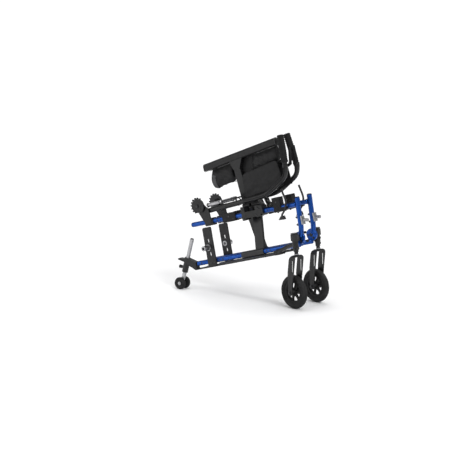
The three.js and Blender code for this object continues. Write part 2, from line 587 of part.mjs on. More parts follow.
function braceArmForm(index) {
  const side = index === 0 ? -1 : 1; // arm a starts at the near tube, arm b at the far one
  const footY = (side * frameSpacing) / 2;
  const x = brace.armX[index];
  const half = brace.armWidth[index] / 2;
  const depth = brace.armDepth / 2;
  const topY = -side * railSide;
  const topZ = railHeight(x) - seatRail.radius;
  const sleeveEnds = [x - half - (index === 0 ? brace.foot - brace.armWidth[0] : 0) * 0.62, x + half];
  const limb = (fromY, fromZ, toY, toZ, wide, narrow) => {
    const geometry = new THREE.BoxGeometry(1, 1, 1, 1, 1, 1);
    const position = geometry.attributes.position;
    for (let i = 0; i < position.count; i++) {
      const up = position.getZ(i) > 0;
      const width = up ? narrow : wide;
      const centreY = up ? toY : fromY;
      position.setXYZ(i, x + position.getX(i) * 2 * width, centreY + position.getY(i) * 2 * depth, up ? toZ : fromZ);
    }
    return geometry;
  };
  const lower = limb(footY, 0, 0, crossHeight + crossBolt.bossRadius / 2, half, half - weldSink);
  const upper = limb(0, crossHeight - crossBolt.bossRadius / 2, topY, topZ, half - weldSink, half - weldSink * 2);
  const boss = rod([x - half + weldSink, 0, crossHeight], [x + half - weldSink, 0, crossHeight], crossBolt.bossRadius, 14);
  const sleeve = rod([sleeveEnds[0], footY, 0], [sleeveEnds[1], footY, 0], brace.sleeve, tubeSides);
  const bore = rod([sleeveEnds[0] - overrun, footY, 0], [sleeveEnds[1] + overrun, footY, 0], lowerTube.radius + gap,
    tubeSides);
  const flareX = half + weldSink * 6;
  const flare = slab([[x - flareX * 1.2, topZ + weldSink], [x - half + weldSink * 2, topZ - flareX * 1.4],
    [x + half - weldSink * 2, topZ - flareX * 1.4], [x + flareX * 1.4, topZ + flareX / 5]], topY - depth, topY + depth);
  const railAt = (a) => [a, topY, railHeight(a)];
  const rail = rod(railAt(seatRail.start + brace.armDepth), railAt(seatRail.end - brace.armDepth), seatRail.radius,
    tubeSides);
  const hole = rod([x - half * 2, 0, crossHeight], [x + half * 2, 0, crossHeight], crossBolt.radius + gap, 12);
  return cut(join(lower, upper, boss, sleeve, flare, rail), bore, hole);
}

function crossBoltForm() {
  const b = crossBolt;
  const ends = [brace.armX[1] - brace.armWidth[1] / 2 + weldSink, brace.armX[0] + brace.armWidth[0] / 2 - weldSink];
  const shaft = rod([ends[0] - b.headHeight, 0, crossHeight], [ends[1] + b.headHeight, 0, crossHeight], b.radius, 12);
  const head = rod([ends[1] + gap, 0, crossHeight], [ends[1] + b.headHeight, 0, crossHeight], b.head, 6);
  const nut = rod([ends[0] - b.headHeight, 0, crossHeight], [ends[0] - gap, 0, crossHeight], b.head, 6);
  return join(shaft, head, nut);
}

// The padded cover of a seat rail, open below so that it slips over the rail
function railPadForm(index) {
  const side = index === 0 ? -1 : 1;
  const x = brace.armX[index];
  const y = -side * railSide;
  const at = (a, lift = 0) => [a, y, railHeight(a) + lift];
  const r = seatRail.radius + seatRail.padWall;
  const fill = seatRail.pad - 2 * r;
  const low = rod(at(seatRail.start), at(seatRail.end), r, 12);
  const high = rod(at(seatRail.start + r / 2, fill), at(seatRail.end, fill), r * 0.96, 12);
  const middle = slab([at(seatRail.start), at(seatRail.end), at(seatRail.end, fill), at(seatRail.start + r / 2, fill)]
    .map((p) => [p[0], p[2]]), y - r * 0.95, y + r * 0.95);
  const bore = rod(at(seatRail.start + brace.armDepth - gap), at(seatRail.end - brace.armDepth + gap),
    seatRail.radius + gap, tubeSides);
  const half = brace.armWidth[index] / 2 + weldSink * 9;
  const mouth = block([x - half * 1.5, x + half * 1.6], [y - brace.armDepth / 2 - gap, y + brace.armDepth / 2 + gap],
    [railHeight(x) - r * 5, railHeight(x) - gap]);
  return cut(join(low, high, middle), bore, mouth);
}

// The seat upholstery that hangs in a fold between the two rails, in two lengths beside the brace arms
function slingForm(from, to, rearTaper) {
  const s = seatSling;
  const topZ = (x) => railHeight(x) + seatRail.padWall;
  const half = rearTaper ? s.halfWidth : s.frontHalfWidth;
  const rings = 9;
  const across = 14;
  const positions = [];
  for (let i = 0; i <= rings; i++) {
    const share = i / rings;
    const x = from + (to - from) * share;
    const swell = rearTaper ? Math.sqrt(Math.sin((Math.PI / 2) * Math.min(1, 0.18 + share * 2.2))) : 1;
    const drop = s.drop * (0.72 + 0.28 * swell) * (1 - 0.18 * Math.max(0, (x - s.rear) / (s.front - s.rear)));
    for (let j = 0; j < across; j++) {
      const angle = (2 * Math.PI * j) / across;
      const depth = (1 - Math.sin(angle)) / 2;
      const wide = half + (s.bottomWidth - half) * Math.sin(Math.PI * Math.max(0, depth * 0.9 - 0.09));
      positions.push(x - depth * s.armClear, Math.cos(angle) * wide * swell, topZ(x) - depth * drop);
    }
  }
  for (const ring of [0, rings]) {
    for (let axis = 0; axis < 3; axis++) {
      let sum = 0;
      for (let j = 0; j < across; j++) sum += positions[(ring * across + j) * 3 + axis];
      positions.push(sum / across);
    }
  }
  return geometryOf(solidOf(skinned(positions, rings + 1, across)));
}

// Casters: fork, tyre and spoked hub, drawn upright with the wheel's centre at the origin
function forkForm(rise) {
  const f = fork;
  const side = f.inside / 2;
  const top = rise + housing.bottom - housing.bush - gap - stem.collarHeight;
  const half = f.bladeWidth / 2;
  const slant = Math.atan2(f.trail * 0.6, top);
  const blades = [-1, 1].map((sign) => {
    const low = sign > 0 ? side : -side - f.blade;
    const outline = [[-half * 0.6, -half * 0.8], [half * 0.6, -half * 0.8], [f.trail * 0.42 + half, top * 0.5],
      [f.trail + half, top], [f.trail - half, top], [f.trail * 0.42 - half, top * 0.5]];
    const sheet = slab(outline, low, low + f.blade, half * 0.9);
    const hole = new THREE.ExtrudeGeometry(slotShape(slot(0, 0, f.slotWidth, f.slotLength)),
      { depth: f.blade * 3, bevelEnabled: false, curveSegments: 3 });
    hole.rotateX(Math.PI / 2).rotateY(slant).translate(f.trail * 0.84, low + f.blade * 2, top * 0.71);
    return cut(sheet, hole);
  });
  const crownLow = top - f.crown;
  const crown = slab([[f.trail - half * 0.9, crownLow], [f.trail + half * 0.9, crownLow], [f.trail + half * 0.7, top],
    [f.trail - half * 0.7, top]], -side - f.blade / 2, side + f.blade / 2, f.crown / 2);
  const edge = side + f.blade;
  const shoulders = slab([[-edge, -top], [edge, -top], [edge, top], [-edge, top]], -top, top, f.shoulder)
    .rotateZ(Math.PI / 2);
  const arch = trim(join(...blades, crown), shoulders);
  const axle = rod([0, -side - f.blade * 1.7, 0], [0, side + f.blade * 1.7, 0], wheel.axle, 12);
  const collarTop = top + stem.collarHeight;
  const collar = rod([f.trail, 0, top - weldSink], [f.trail, 0, collarTop], stem.collar, 14);
  const pin = rod([f.trail, 0, collarTop - weldSink], [f.trail, 0, collarTop + stem.insert], stem.radius, 12);
  return join(arch, axle, collar, pin);
}

function slotShape(path) {
  const shape = new THREE.Shape();
  shape.setFromPoints(path.getPoints(4));
  return shape;
}

function tyreForm() {
  const w = wheel;
  const half = w.width / 2;
  const crown = 6;
  const profile = [[w.rim, -half * 0.7]];
  for (let i = 0; i <= crown; i++) {
    const angle = -Math.PI / 2 + (Math.PI * i) / crown;
    profile.push([w.rim + (w.radius - w.rim) * (0.42 + 0.58 * Math.cos(angle)), half * Math.sin(angle)]);
  }
  profile.push([w.rim, half * 0.7], [w.rim, -half * 0.7]);
  return turned(profile, 0, 0).rotateY(stem.lean - Math.PI / wheelSides);
}

function hubForm() {
  const w = wheel;
  const outer = w.rim - gap;
  const half = w.width * 0.34;
  const rim = turned([[outer - w.web, -half], [outer, -half], [outer, half], [outer - w.web, half],
    [outer - w.web, -half]], 0, 0);
  const centre = rod([0, -w.hubWidth / 2 + gap, 0], [0, w.hubWidth / 2 - gap, 0], w.hub, 18);
  const spokes = [];
  for (let i = 0; i < w.spokes; i++) {
    const angle = (2 * Math.PI * (i + 0.5)) / w.spokes;
    const bar = slab([[0, -w.web * 0.9], [outer - w.web / 2, -w.web * 0.65], [outer - w.web / 2, w.web * 0.65],
      [0, w.web * 0.9]], -half * 0.55, half * 0.55);
    spokes.push(bar.rotateY(angle));
  }
  const bore = rod([0, -w.hubWidth, 0], [0, w.hubWidth, 0], w.axle + gap / 3, 12);
  return cut(join(rim, centre, ...spokes), bore);
}

// Anti-tip unit, drawn upright: arm with pedal, sliding tube, twin wheels and plunger knob
function antitipArmForm(axis) {
  const a = antitipArm;
  const bore = rod(axis(-a.sleeveFoot * 4), axis(a.sleeveTop * 4), antitip.tubeRadius + gap, tubeSides);
  const sleeve = rod(axis(-a.sleeveFoot), axis(a.sleeveTop), a.sleeve, tubeSides);
  const middle = axis(a.sleeveTop - a.height / 2);
  const half = a.height / 2;
  const tail = [lowerTube.startX - gap * 4, 0, lowerTube.height];
  const bar = slab([[middle[0], middle[2] - half], [tail[0] - half / 3, tail[2] - half * 2.2], [tail[0] + half * 0.2, tail[2] - half * 2],
    [tail[0] - half * 0.4, tail[2] + half * 0.4], [middle[0], middle[2] + half]], -a.width / 2, a.width / 2, a.height / 8);
  const step = slab([[middle[0] - pedal.length, middle[2] + pedal.thickness * 0.2],
    [middle[0], middle[2] - pedal.thickness], [middle[0], middle[2] + pedal.thickness],
    [middle[0] - pedal.length * 0.9, middle[2] + pedal.thickness]], -pedal.width / 2, pedal.width / 2,
  pedal.thickness / 3);
  const b = baseRail;
  const inside = b.halfWidth - b.wall - gap;
  const tongue = block([-a.width / 2, b.start * 1.9], [-inside, inside], [b.top - b.height, b.top - b.wall - gap])
    .rotateY(-framePitch).translate(lowerTube.startX, 0, lowerTube.height);
  const k = knob;
  const side = axis(-k.along);
  const boss = rod([side[0] - a.sleeve - k.stemLength / 2, 0, side[2]], [side[0], 0, side[2]], k.stem * 1.8, 12);
  const hole = rod([side[0] - a.sleeve - k.length * 2, 0, side[2]], [side[0] - antitip.tubeRadius / 2, 0, side[2]],
    k.stem + gap, 12);
  return cut(join(sleeve, bar, step, boss, tongue), bore, hole);
}

function antitipTubeForm(axis, foot) {
  const a = antitip;
  const tube = rod(axis(-foot + a.radius * 0.55), axis(a.tubeLength - foot), a.tubeRadius, tubeSides);
  const inner = a.spacing / 2;
  const lug = rod([a.axleX, -inner + gap, a.radius], [a.axleX, inner - gap, a.radius], a.radius * 0.42, 14);
  const stalk = rod(axis(-foot), axis(-foot + a.radius), a.tubeRadius * 0.8, 12);
  const pin = rod([a.axleX, -inner - a.width - gap * 4, a.radius], [a.axleX, inner + a.width + gap * 4, a.radius],
    a.axle, 12);
  return join(tube, lug, stalk, pin);
}

function antitipWheelForm(sign) {
  const a = antitip;
  const near = a.spacing / 2 + gap;
  const far = near + a.width;
  const chamfer = a.width / 5;
  const rim = a.radius + wheel.flat;
  const bore = a.axle + gap;
  const profile = [[bore, near], [rim - chamfer, near], [rim, near + chamfer], [rim, far - chamfer],
    [rim - chamfer, far], [a.radius * 0.62, far], [a.radius * 0.5, far - chamfer], [bore, far - chamfer],
    [bore, near]];
  const disc = turned(profile.map(([r, y]) => [r, y * sign]), a.axleX, a.radius, 26);
  const ground = block([a.axleX - a.radius, a.axleX + a.radius], [-far * 2, far * 2], [-a.radius, 0]);
  return cut(geometryOf(solidOf(disc)), ground);
}

function knobForm(axis) {
  const k = knob;
  const side = axis(-k.along);
  const start = side[0] - antitipArm.sleeve - k.stemLength / 2 - gap;
  const head = rod([start - k.length, 0, side[2]], [start, 0, side[2]], k.radius, 14, k.radius * 0.86);
  const shaft = rod([start - weldSink, 0, side[2]], [side[0] - antitip.tubeRadius - gap * 6, 0, side[2]], k.stem, 10);
  return join(head, shaft);
}

// Assembly
const chair = new THREE.Group();

function piece(parent, name, geometry, finish) {
  const mesh = new THREE.Mesh(geometry, new THREE.MeshStandardMaterial(finishes[finish]));
  mesh.name = name;
  parent.add(mesh);
  return mesh;
}

// A group in the tilted frame of a side; the near side is drawn mirrored
function tilted(parent) {
  const group = new THREE.Group();
  group.position.set(lowerTube.startX, 0, lowerTube.height);
  group.rotation.y = -framePitch;
  parent.add(group);
  return group;
}

function buildSide(name, sign) {
  const side = new THREE.Group();
  side.position.y = (sign * frameSpacing) / 2;
  side.scale.y = sign;
  chair.add(side);
  const frame = tilted(side);
  const lean = gripLean[name];
  const add = (label, geometry, finish) => piece(frame, label + "_" + name, geometry, finish);
  add("lower_tube", lowerTubeForm(), "bluePaint");
  add("upper_tube", upperTubeForm(), "bluePaint");
  add("front_tube", frontTubeForm(), "bluePaint");
  add("rear_saddle", saddleForm(saddle.rearX, saddle.rearLength, saddle.mouth), "blackPlastic");
  add("front_saddle", frontSaddleForm(), "blackPlastic");
  add("brace_bracket", bracketForm(), "blackPaint");
  add("brace_link", linkForm(), "blackPaint");
  add("back_post", backPostForm(), "blackPaint");
  add("recline_disc", reclineDiscForm(), "blackPaint");
  add("cane", caneForm(lean), "blackPaint");
  add("grip", gripForm(lean), "rubber");
  add("hand_lever", handLeverForm(lean), "blackPlastic");
  add("gas_spring", springForm(), "silver");
  add("release_cable", cableForm(), "blackPlastic");
  add("back_upholstery", backLeafForm(), "fabric");
  add("brake_lever", brakeLeverForm(), "blackPaint");
  add("hanger_bracket", hangerForm(), "silver");
  add("base_rail", baseRailForm(), "blackPaint");
  add("axle_plate", axlePlateForm(), "blackPaint");
  add("axle_sleeve", axleSleeveForm(), "silver");
  add("caster_arm", casterArmForm((x, y, z) => [x, y, z]), "blackPaint");
  buildCaster(side, name);
}

// The caster hangs from the arm's housing. Its stem leans back with the frame, and its wheel stands on the floor
function casterPlace() {
  const c = casterArm;
  const hubX = lowerTube.startX + c.hubX * Math.cos(framePitch) - c.hubZ * Math.sin(framePitch);
  const hubZ = lowerTube.height + c.hubX * Math.sin(framePitch) + c.hubZ * Math.cos(framePitch);
  const standing = wheel.radius * Math.cos(Math.PI / wheelSides);
  const behind = fork.trail * Math.cos(swivelRest) * Math.sin(stem.lean);
  const rise = (hubZ - standing - behind) / Math.cos(stem.lean);
  return { x: hubX + rise * Math.sin(stem.lean), z: hubZ - rise * Math.cos(stem.lean), rise };
}

function buildCaster(side, name) {
  const at = casterPlace();
  const leaned = new THREE.Group();
  leaned.position.set(at.x, housing.offset, at.z);
  leaned.rotation.y = -stem.lean;
  side.add(leaned);
  const turned = new THREE.Group();
  turned.rotation.z = name === "near" ? swivelRest : -swivelRest;
  leaned.add(turned);
  const hang = new THREE.Group();
  hang.position.set(-fork.trail, 0, 0);
  turned.add(hang);
  piece(hang, "caster_fork_" + name, forkForm(at.rise), "blackPaint");
  piece(hang, "caster_tyre_" + name, tyreForm(), "rubber");
  piece(hang, "caster_hub_" + name, hubForm(), "blackPlastic");
}

function buildAntitip() {
  const side = new THREE.Group();
  side.position.y = -frameSpacing / 2;
  chair.add(side);
  const foot = (lowerTube.height - antitip.radius) / Math.cos(antitipLean) - antitipArm.height * 0.75;
  const axis = (d) => {
    const reach = foot + d;
    return [antitip.axleX + reach * Math.sin(antitipLean), 0, antitip.radius + reach * Math.cos(antitipLean)];
  };
  piece(side, "antitip_arm", antitipArmForm(axis), "blackPaint");
  piece(side, "antitip_tube", antitipTubeForm(axis, foot), "silver");
  piece(side, "antitip_wheel_outer", antitipWheelForm(-1), "rubber");
  piece(side, "antitip_wheel_inner", antitipWheelForm(1), "rubber");
  piece(side, "antitip_knob", knobForm(axis), "blackPlastic");
}

buildSide("near", -1);
buildSide("far", 1);
buildAntitip();
const middle = tilted(chair);
piece(middle, "brace_arm_a", braceArmForm(0), "blackPaint");
piece(middle, "brace_arm_b", braceArmForm(1), "blackPaint");
piece(middle, "cross_bolt", crossBoltForm(), "blackPaint");
piece(middle, "rail_pad_far", railPadForm(0), "fabric");
piece(middle, "rail_pad_near", railPadForm(1), "fabric");
const armEdges = [brace.armX[1] - brace.armWidth[1] / 2, brace.armX[0] + brace.armWidth[0] / 2];
const flareClear = seatSling.armClear * 2;
piece(middle, "seat_sling_rear", slingForm(seatSling.rear, armEdges[0] - flareClear / 2, true), "fabric");
piece(middle, "seat_sling_front", slingForm(armEdges[1] + flareClear * 1.7, seatSling.front, false), "fabric");

// The origin is on the floor, under the middle of the whole chair
chair.updateMatrixWorld(true);
const reach = new THREE.Box3().setFromObject(chair, true);
const centre = reach.getCenter(new THREE.Vector3());
chair.position.set(-centre.x, -centre.y, -reach.min.z);

export default chair;
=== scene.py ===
"""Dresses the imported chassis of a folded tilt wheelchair: smooth tubes, wheels, grips, padded seat rails, the
folded seat sling, the two leaves of the back upholstery, fasteners, finishes, and a plain studio.

Bare lengths are millimetres: x along the frame's tubes, y outboard of a side's plane, z square to both."""

import json
from math import cos, pi, radians, sin, sqrt, tan

import bmesh
import bpy
from bpy.props import FloatProperty, FloatVectorProperty, IntProperty, PointerProperty
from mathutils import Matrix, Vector, noise


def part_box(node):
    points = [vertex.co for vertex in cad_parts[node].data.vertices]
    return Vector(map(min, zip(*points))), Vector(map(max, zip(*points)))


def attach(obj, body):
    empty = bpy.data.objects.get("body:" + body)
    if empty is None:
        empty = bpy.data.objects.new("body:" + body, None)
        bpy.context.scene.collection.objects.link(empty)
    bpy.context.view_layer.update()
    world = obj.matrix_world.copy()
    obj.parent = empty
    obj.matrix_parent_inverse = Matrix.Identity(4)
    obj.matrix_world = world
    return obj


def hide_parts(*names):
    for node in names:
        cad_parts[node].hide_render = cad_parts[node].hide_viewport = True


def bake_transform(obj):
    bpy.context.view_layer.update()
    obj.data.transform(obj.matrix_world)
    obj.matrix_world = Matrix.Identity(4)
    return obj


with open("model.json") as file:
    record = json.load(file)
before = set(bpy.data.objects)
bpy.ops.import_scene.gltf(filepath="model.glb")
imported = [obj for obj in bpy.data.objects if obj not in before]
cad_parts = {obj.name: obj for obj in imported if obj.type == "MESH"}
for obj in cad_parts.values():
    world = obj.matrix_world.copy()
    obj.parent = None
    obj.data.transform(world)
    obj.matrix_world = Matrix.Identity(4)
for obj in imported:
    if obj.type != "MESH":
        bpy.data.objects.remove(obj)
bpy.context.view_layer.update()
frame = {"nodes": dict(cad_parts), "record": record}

bl_info = {
    "name": "Folded tilt wheelchair",
    "version": (1, 0, 0),
    "blender": (4, 5, 0),
    "location": "View3D > Sidebar > Wheelchair",
    "description": "Dresses the packed chassis of a folded tilt wheelchair",
    "category": "Object",
}

SIDES = ("near", "far")
OUTBOARD = {"near": -1.0, "far": 1.0}
PITCH = radians(15.5)
ALONG = Vector((cos(PITCH), 0.0, sin(PITCH)))
SQUARE = Vector((-sin(PITCH), 0.0, cos(PITCH)))
MM = 0.001
LOWER_RADIUS = 11
JOINTS = {entry["name"]: entry for entry in frame["record"]["behaviour"]["joints"]}


def frame_origin(side):
    """The rear end of a side's lower tube, which that side's sizes are counted from."""
    low, high = (Vector(corner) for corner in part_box(f"lower_tube_{side}"))
    radius = LOWER_RADIUS * MM
    return Vector((low.x + radius * sin(PITCH), (low.y + high.y) / 2, low.z + radius * cos(PITCH)))


def place(side, x, y, z):
    """A point of a side's frame, in the scene's metres."""
    across = Vector((0.0, OUTBOARD[side] * y * MM, 0.0))
    return frame_origin(side) + ALONG * (x * MM) + SQUARE * (z * MM) + across


def middle_place(x, y, z):
    """The same, with y counted from the plane midway between the two sides."""
    point = (place("near", x, 0, z) + place("far", x, 0, z)) / 2
    point.y += y * MM
    return point


def joint_axis(name):
    """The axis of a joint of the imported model."""
    return Vector(JOINTS[name]["axis"]).normalized()


def joint(name):
    """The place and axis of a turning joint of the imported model."""
    return Vector(JOINTS[name]["pos_m"]), joint_axis(name)


def round_turns(count):
    """The angles of equal steps round a circle."""
    return [2 * pi * i / count for i in range(count)]


# Sizes and colours that a user would change


class ChairSizes(bpy.types.PropertyGroup):
    """Sizes of the dressed pieces"""

    tube_sides: IntProperty(
        name="Tube sides", description="Faces round a frame tube", default=28, min=12, max=64
    )
    cane_radius: FloatProperty(
        name="Back cane radius", description="Radius of the back canes", default=0.011, unit="LENGTH"
    )
    grip_radius: FloatProperty(
        name="Grip radius", description="Radius of the push grips at their ends", default=0.016, unit="LENGTH"
    )
    wheel_radius: FloatProperty(
        name="Caster radius", description="Outer radius of the front wheels", default=0.075, unit="LENGTH"
    )
    wheel_width: FloatProperty(
        name="Caster width", description="Width of the front tyres", default=0.027, unit="LENGTH"
    )
    spokes: IntProperty(name="Spokes", description="Spokes of a front wheel", default=6, min=3, max=12)
    pad_voxel: FloatProperty(
        name="Pad voxel", description="Voxel size of the padded forms", default=0.005, unit="LENGTH"
    )
    pad_swell: FloatProperty(
        name="Pad swell", description="How far the padding may swell", default=0.0006, unit="LENGTH"
    )


class ChairColours(bpy.types.PropertyGroup):
    """Colours of the finishes"""

    frame_blue: FloatVectorProperty(
        name="Frame blue", description="Paint of the seat frame", subtype="COLOR", default=(0.003, 0.058, 0.3)
    )
    black: FloatVectorProperty(
        name="Black", description="Base and brackets", subtype="COLOR", default=(0.0045, 0.0045, 0.005)
    )
    cloth: FloatVectorProperty(
        name="Cloth", description="Upholstery", subtype="COLOR", default=(0.0035, 0.0035, 0.004)
    )
    metal: FloatVectorProperty(
        name="Bare metal", description="Unpainted metal", subtype="COLOR", default=(0.40, 0.40, 0.41)
    )
    floor: FloatVectorProperty(
        name="Floor", description="The studio floor", subtype="COLOR", default=(0.93, 0.93, 0.935)
    )


# Materials, whose scales and distances are metres


class Finish:
    """A node material with a Principled shader and a few shared building blocks."""

    def __init__(self, name, colour, roughness, sockets=None):
        self.material = bpy.data.materials.new(name)
        self.material.use_nodes = True
        self.nodes = self.material.node_tree.nodes
        self.links = self.material.node_tree.links
        self.shader = self.nodes["Principled BSDF"]
        values = {"Base Color": (*colour, 1.0), "Roughness": roughness, **(sockets or {})}
        for socket, value in values.items():
            self.shader.inputs[socket].default_value = value
        self.colour = colour
        self.coordinates = self.nodes.new("ShaderNodeTexCoord").outputs["Object"]

    def node(self, kind, inputs=None, **settings):
        made = self.nodes.new(kind)
        for key, value in settings.items():
            setattr(made, key, value)
        for key, value in (inputs or {}).items():
            if isinstance(value, bpy.types.NodeSocket):
                self.links.new(value, made.inputs[key])
            else:
                made.inputs[key].default_value = value
        return made

    def drive(self, socket, value):
        self.links.new(value, self.shader.inputs[socket])

    def noise(self, scale, detail=3, stretch=None):
        vector = self.coordinates
        if stretch:
            vector = self.node("ShaderNodeMapping", {"Vector": vector, "Scale": stretch}).outputs[0]
        inputs = {"Vector": vector, "Scale": scale, "Detail": detail}
        return self.node("ShaderNodeTexNoise", inputs).outputs["Fac"]

    def ramp(self, factor, stops):
        made = self.node("ShaderNodeValToRGB", {"Fac": factor})
        elements = made.color_ramp.elements
        while len(elements) < len(stops):
            elements.new(0.5)
        for element, (position, colour) in zip(elements, stops):
            element.position = position
            element.color = (*colour, 1.0)
        return made.outputs["Color"]

    def vary(self, factor, share=0.35, lift=0.0):
        """Colour that wanders between a darker and a lighter form of the base colour."""
        dark = [c * (1 - share) for c in self.colour]
        light = [min(1.0, c * (1 + share) + lift) for c in self.colour]
        colour = self.ramp(factor, [(0.32, dark), (0.68, light)])
        self.drive("Base Color", colour)
        return colour

    def wear(self, colour, worn, low=0.56, high=0.66):
        """Lighter colour on sharp outer edges, broken up by noise."""
        pointed = self.node("ShaderNodeNewGeometry").outputs["Pointiness"]
        edge = self.ramp(pointed, [(low, (0, 0, 0)), (high, (1, 1, 1))])
        broken = self.node("ShaderNodeMath", {0: edge, 1: self.noise(90, 4)}, operation="MULTIPLY").outputs[0]
        # A colour mix has its factor, first and second colour at these inputs, and its result at output 2
        mix = self.node("ShaderNodeMix", {0: broken, 6: colour, 7: (*worn, 1.0)}, data_type="RGBA")
        self.drive("Base Color", mix.outputs[2])

    def rough(self, factor, low, high):
        span = self.node("ShaderNodeMapRange", {"Value": factor, "To Min": low, "To Max": high})
        self.drive("Roughness", span.outputs["Result"])

    def bump(self, height, distance, strength=0.6, rounded=0.0):
        """Relief from a height; rounded softens the sharp edges of a plate."""
        inputs = {"Height": height, "Distance": distance, "Strength": strength}
        if rounded:
            inputs["Normal"] = self.node("ShaderNodeBevel", {"Radius": rounded}, samples=4).outputs["Normal"]
        self.drive("Normal", self.node("ShaderNodeBump", inputs).outputs["Normal"])


# Plain finishes: name, colour, roughness and sockets, then tone, gloss, grain and worn edges. Tone, gloss and
# grain start with the scale, detail and stretch of their noise.
NOISY = {
    "blue": (
        "blue_paint", "frame_blue", 0.27, {"Metallic": 0.75, "Coat Weight": 0.15, "Coat Roughness": 0.08},
        ((60,), 0.16), ((25,), 0.22, 0.34), ((2600, 1), 0.00003, 0.35, 0.0008),
        ((0.03, 0.14, 0.42), 0.6, 0.72),
    ),
    "black": (
        "black_paint", "black", 0.36, {"Specular IOR Level": 0.4},
        ((45,), 0.3), ((30,), 0.26, 0.44), ((1300, 2), 0.00006, 0.4, 0.0011), ((0.03, 0.03, 0.032),),
    ),
    "plastic": (
        "black_plastic", "black", 0.55, {"Specular IOR Level": 0.28},
        ((70,), 0.25), ((40,), 0.48, 0.66), ((1900, 3), 0.00008, 0.5, 0.0012), ((0.02, 0.02, 0.021),),
    ),
    "metal": (
        "bare_metal", "metal", 0.3, {"Metallic": 1.0, "Anisotropic": 0.3},
        ((80,), 0.12), ((160, 4, (12, 1, 1)), 0.22, 0.42), ((700, 2, (10, 1, 1)), 0.00002, 0.3, 0.0007), None,
    ),
    "dark_metal": (
        "dark_metal", (0.055, 0.055, 0.058), 0.38, {"Metallic": 0.9},
        ((120,), 0.3), ((90,), 0.3, 0.5), ((900,), 0.00003, 0.3), None,
    ),
    "rubber": (
        "grip_rubber", (0.005, 0.005, 0.0055), 0.72, {"Specular IOR Level": 0.25},
        ((50,), 0.3), ((60,), 0.6, 0.8), ((2200, 2), 0.0001, 0.6), None,
    ),
    "tyre": (
        "tyre_rubber", (0.010, 0.010, 0.0105), 0.7, {"Specular IOR Level": 0.3},
        ((35, 5), 0.35, 0.003), ((60,), 0.62, 0.86), ((1500, 3), 0.00015, 0.5), None,
    ),
}


def noisy(colours, name, colour, roughness, sockets, tone, gloss, grain, worn):
    """A material of the table above, whose colour may be the name of one of the user's."""
    finish = Finish(name, getattr(colours, colour) if isinstance(colour, str) else colour, roughness, sockets)
    shade = finish.vary(finish.noise(*tone[0]), *tone[1:])
    if worn:
        finish.wear(shade, *worn)
    finish.rough(finish.noise(*gloss[0]), *gloss[1:])
    finish.bump(finish.noise(*grain[0]), *grain[1:])
    return finish.material


def cloth(colours, name="cloth", colour=None, thread=0.0016):
    finish = Finish(name, colour or colours.cloth, 0.6, {"Specular IOR Level": 0.3, "Sheen Weight": 0.03})
    finish.vary(finish.noise(28, 5), 0.4, 0.001)
    wave = {"Vector": finish.coordinates, "Scale": MM * 310 / thread, "Distortion": 0.3}
    warp, weft = (finish.node("ShaderNodeTexWave", wave, bands_direction=axis) for axis in "XZ")
    threads = {0: warp.outputs["Fac"], 1: weft.outputs["Fac"]}
    weave = finish.node("ShaderNodeMath", threads, operation="MAXIMUM").outputs[0]
    finish.rough(weave, 0.42, 0.62)
    finish.bump(weave, 0.00012, 0.4)
    return finish.material


def lining(colours):
    """Pale grey cloth as a painted highlight: light caught on the sling's rolled rear end and on the rail pads'
    front ends.
    """
    return cloth(colours, "lining_cloth", (0.055, 0.055, 0.058), 0.0022)


def vinyl(colours):
    finish = Finish("vinyl", (0.0045, 0.0045, 0.005), 0.4, {"Specular IOR Level": 0.35})
    finish.vary(finish.noise(18, 4), 0.35, 0.001)
    cells = {"Vector": finish.coordinates, "Scale": 620.0}
    grain = finish.node("ShaderNodeTexVoronoi", cells, feature="DISTANCE_TO_EDGE").outputs["Distance"]
    finish.rough(finish.noise(24, 5), 0.3, 0.5)
    finish.bump(grain, 0.00025, 0.45)
    return finish.material


def mottled(colours):
    finish = Finish("mottled_plastic", (0.03, 0.03, 0.03), 0.5)
    greys = ((0.38, (0.006,) * 3), (0.48, (0.03,) * 3), (0.55, (0.16, 0.16, 0.155)), (0.62, (0.01,) * 3))
    finish.drive("Base Color", finish.ramp(finish.noise(85, 1.5), greys))
    finish.rough(finish.noise(40), 0.4, 0.6)
    finish.bump(finish.noise(900), 0.00005, 0.4, 0.001)
    return finish.material


def floor_paint(colours):
    finish = Finish("studio_floor", colours.floor, 0.75)
    finish.vary(finish.noise(0.8), 0.01)
    finish.rough(finish.noise(3), 0.7, 0.8)
    return finish.material


MAKERS = {"cloth": cloth, "lining": lining, "vinyl": vinyl, "mottled": mottled, "floor": floor_paint}
MADE = {}


def material(kind):
    """The material of that kind, made once."""
    if kind not in MADE:
        colours = bpy.context.scene.chair_colours
        MADE[kind] = noisy(colours, *NOISY[kind]) if kind in NOISY else MAKERS[kind](colours)
    return MADE[kind]


# Shapes

END_LIP = 0.16  # of a tube's radius, how far its ends are turned in
PUFF_PRESSURE = 4.0
PUFF_FRAMES = 20


def mirrored(profile):
    """A profile and its mirror image along the axis."""
    return [*profile, *((radius, -along) for radius, along in reversed(profile))]


def closed(profile):
    return [*profile, profile[0]]


def seated(piece, body, slot, *nodes):
    """The piece rides on a body and stands for the nodes, which it hides; slot is not used."""
    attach(piece, body)
    if nodes:
        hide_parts(*nodes)


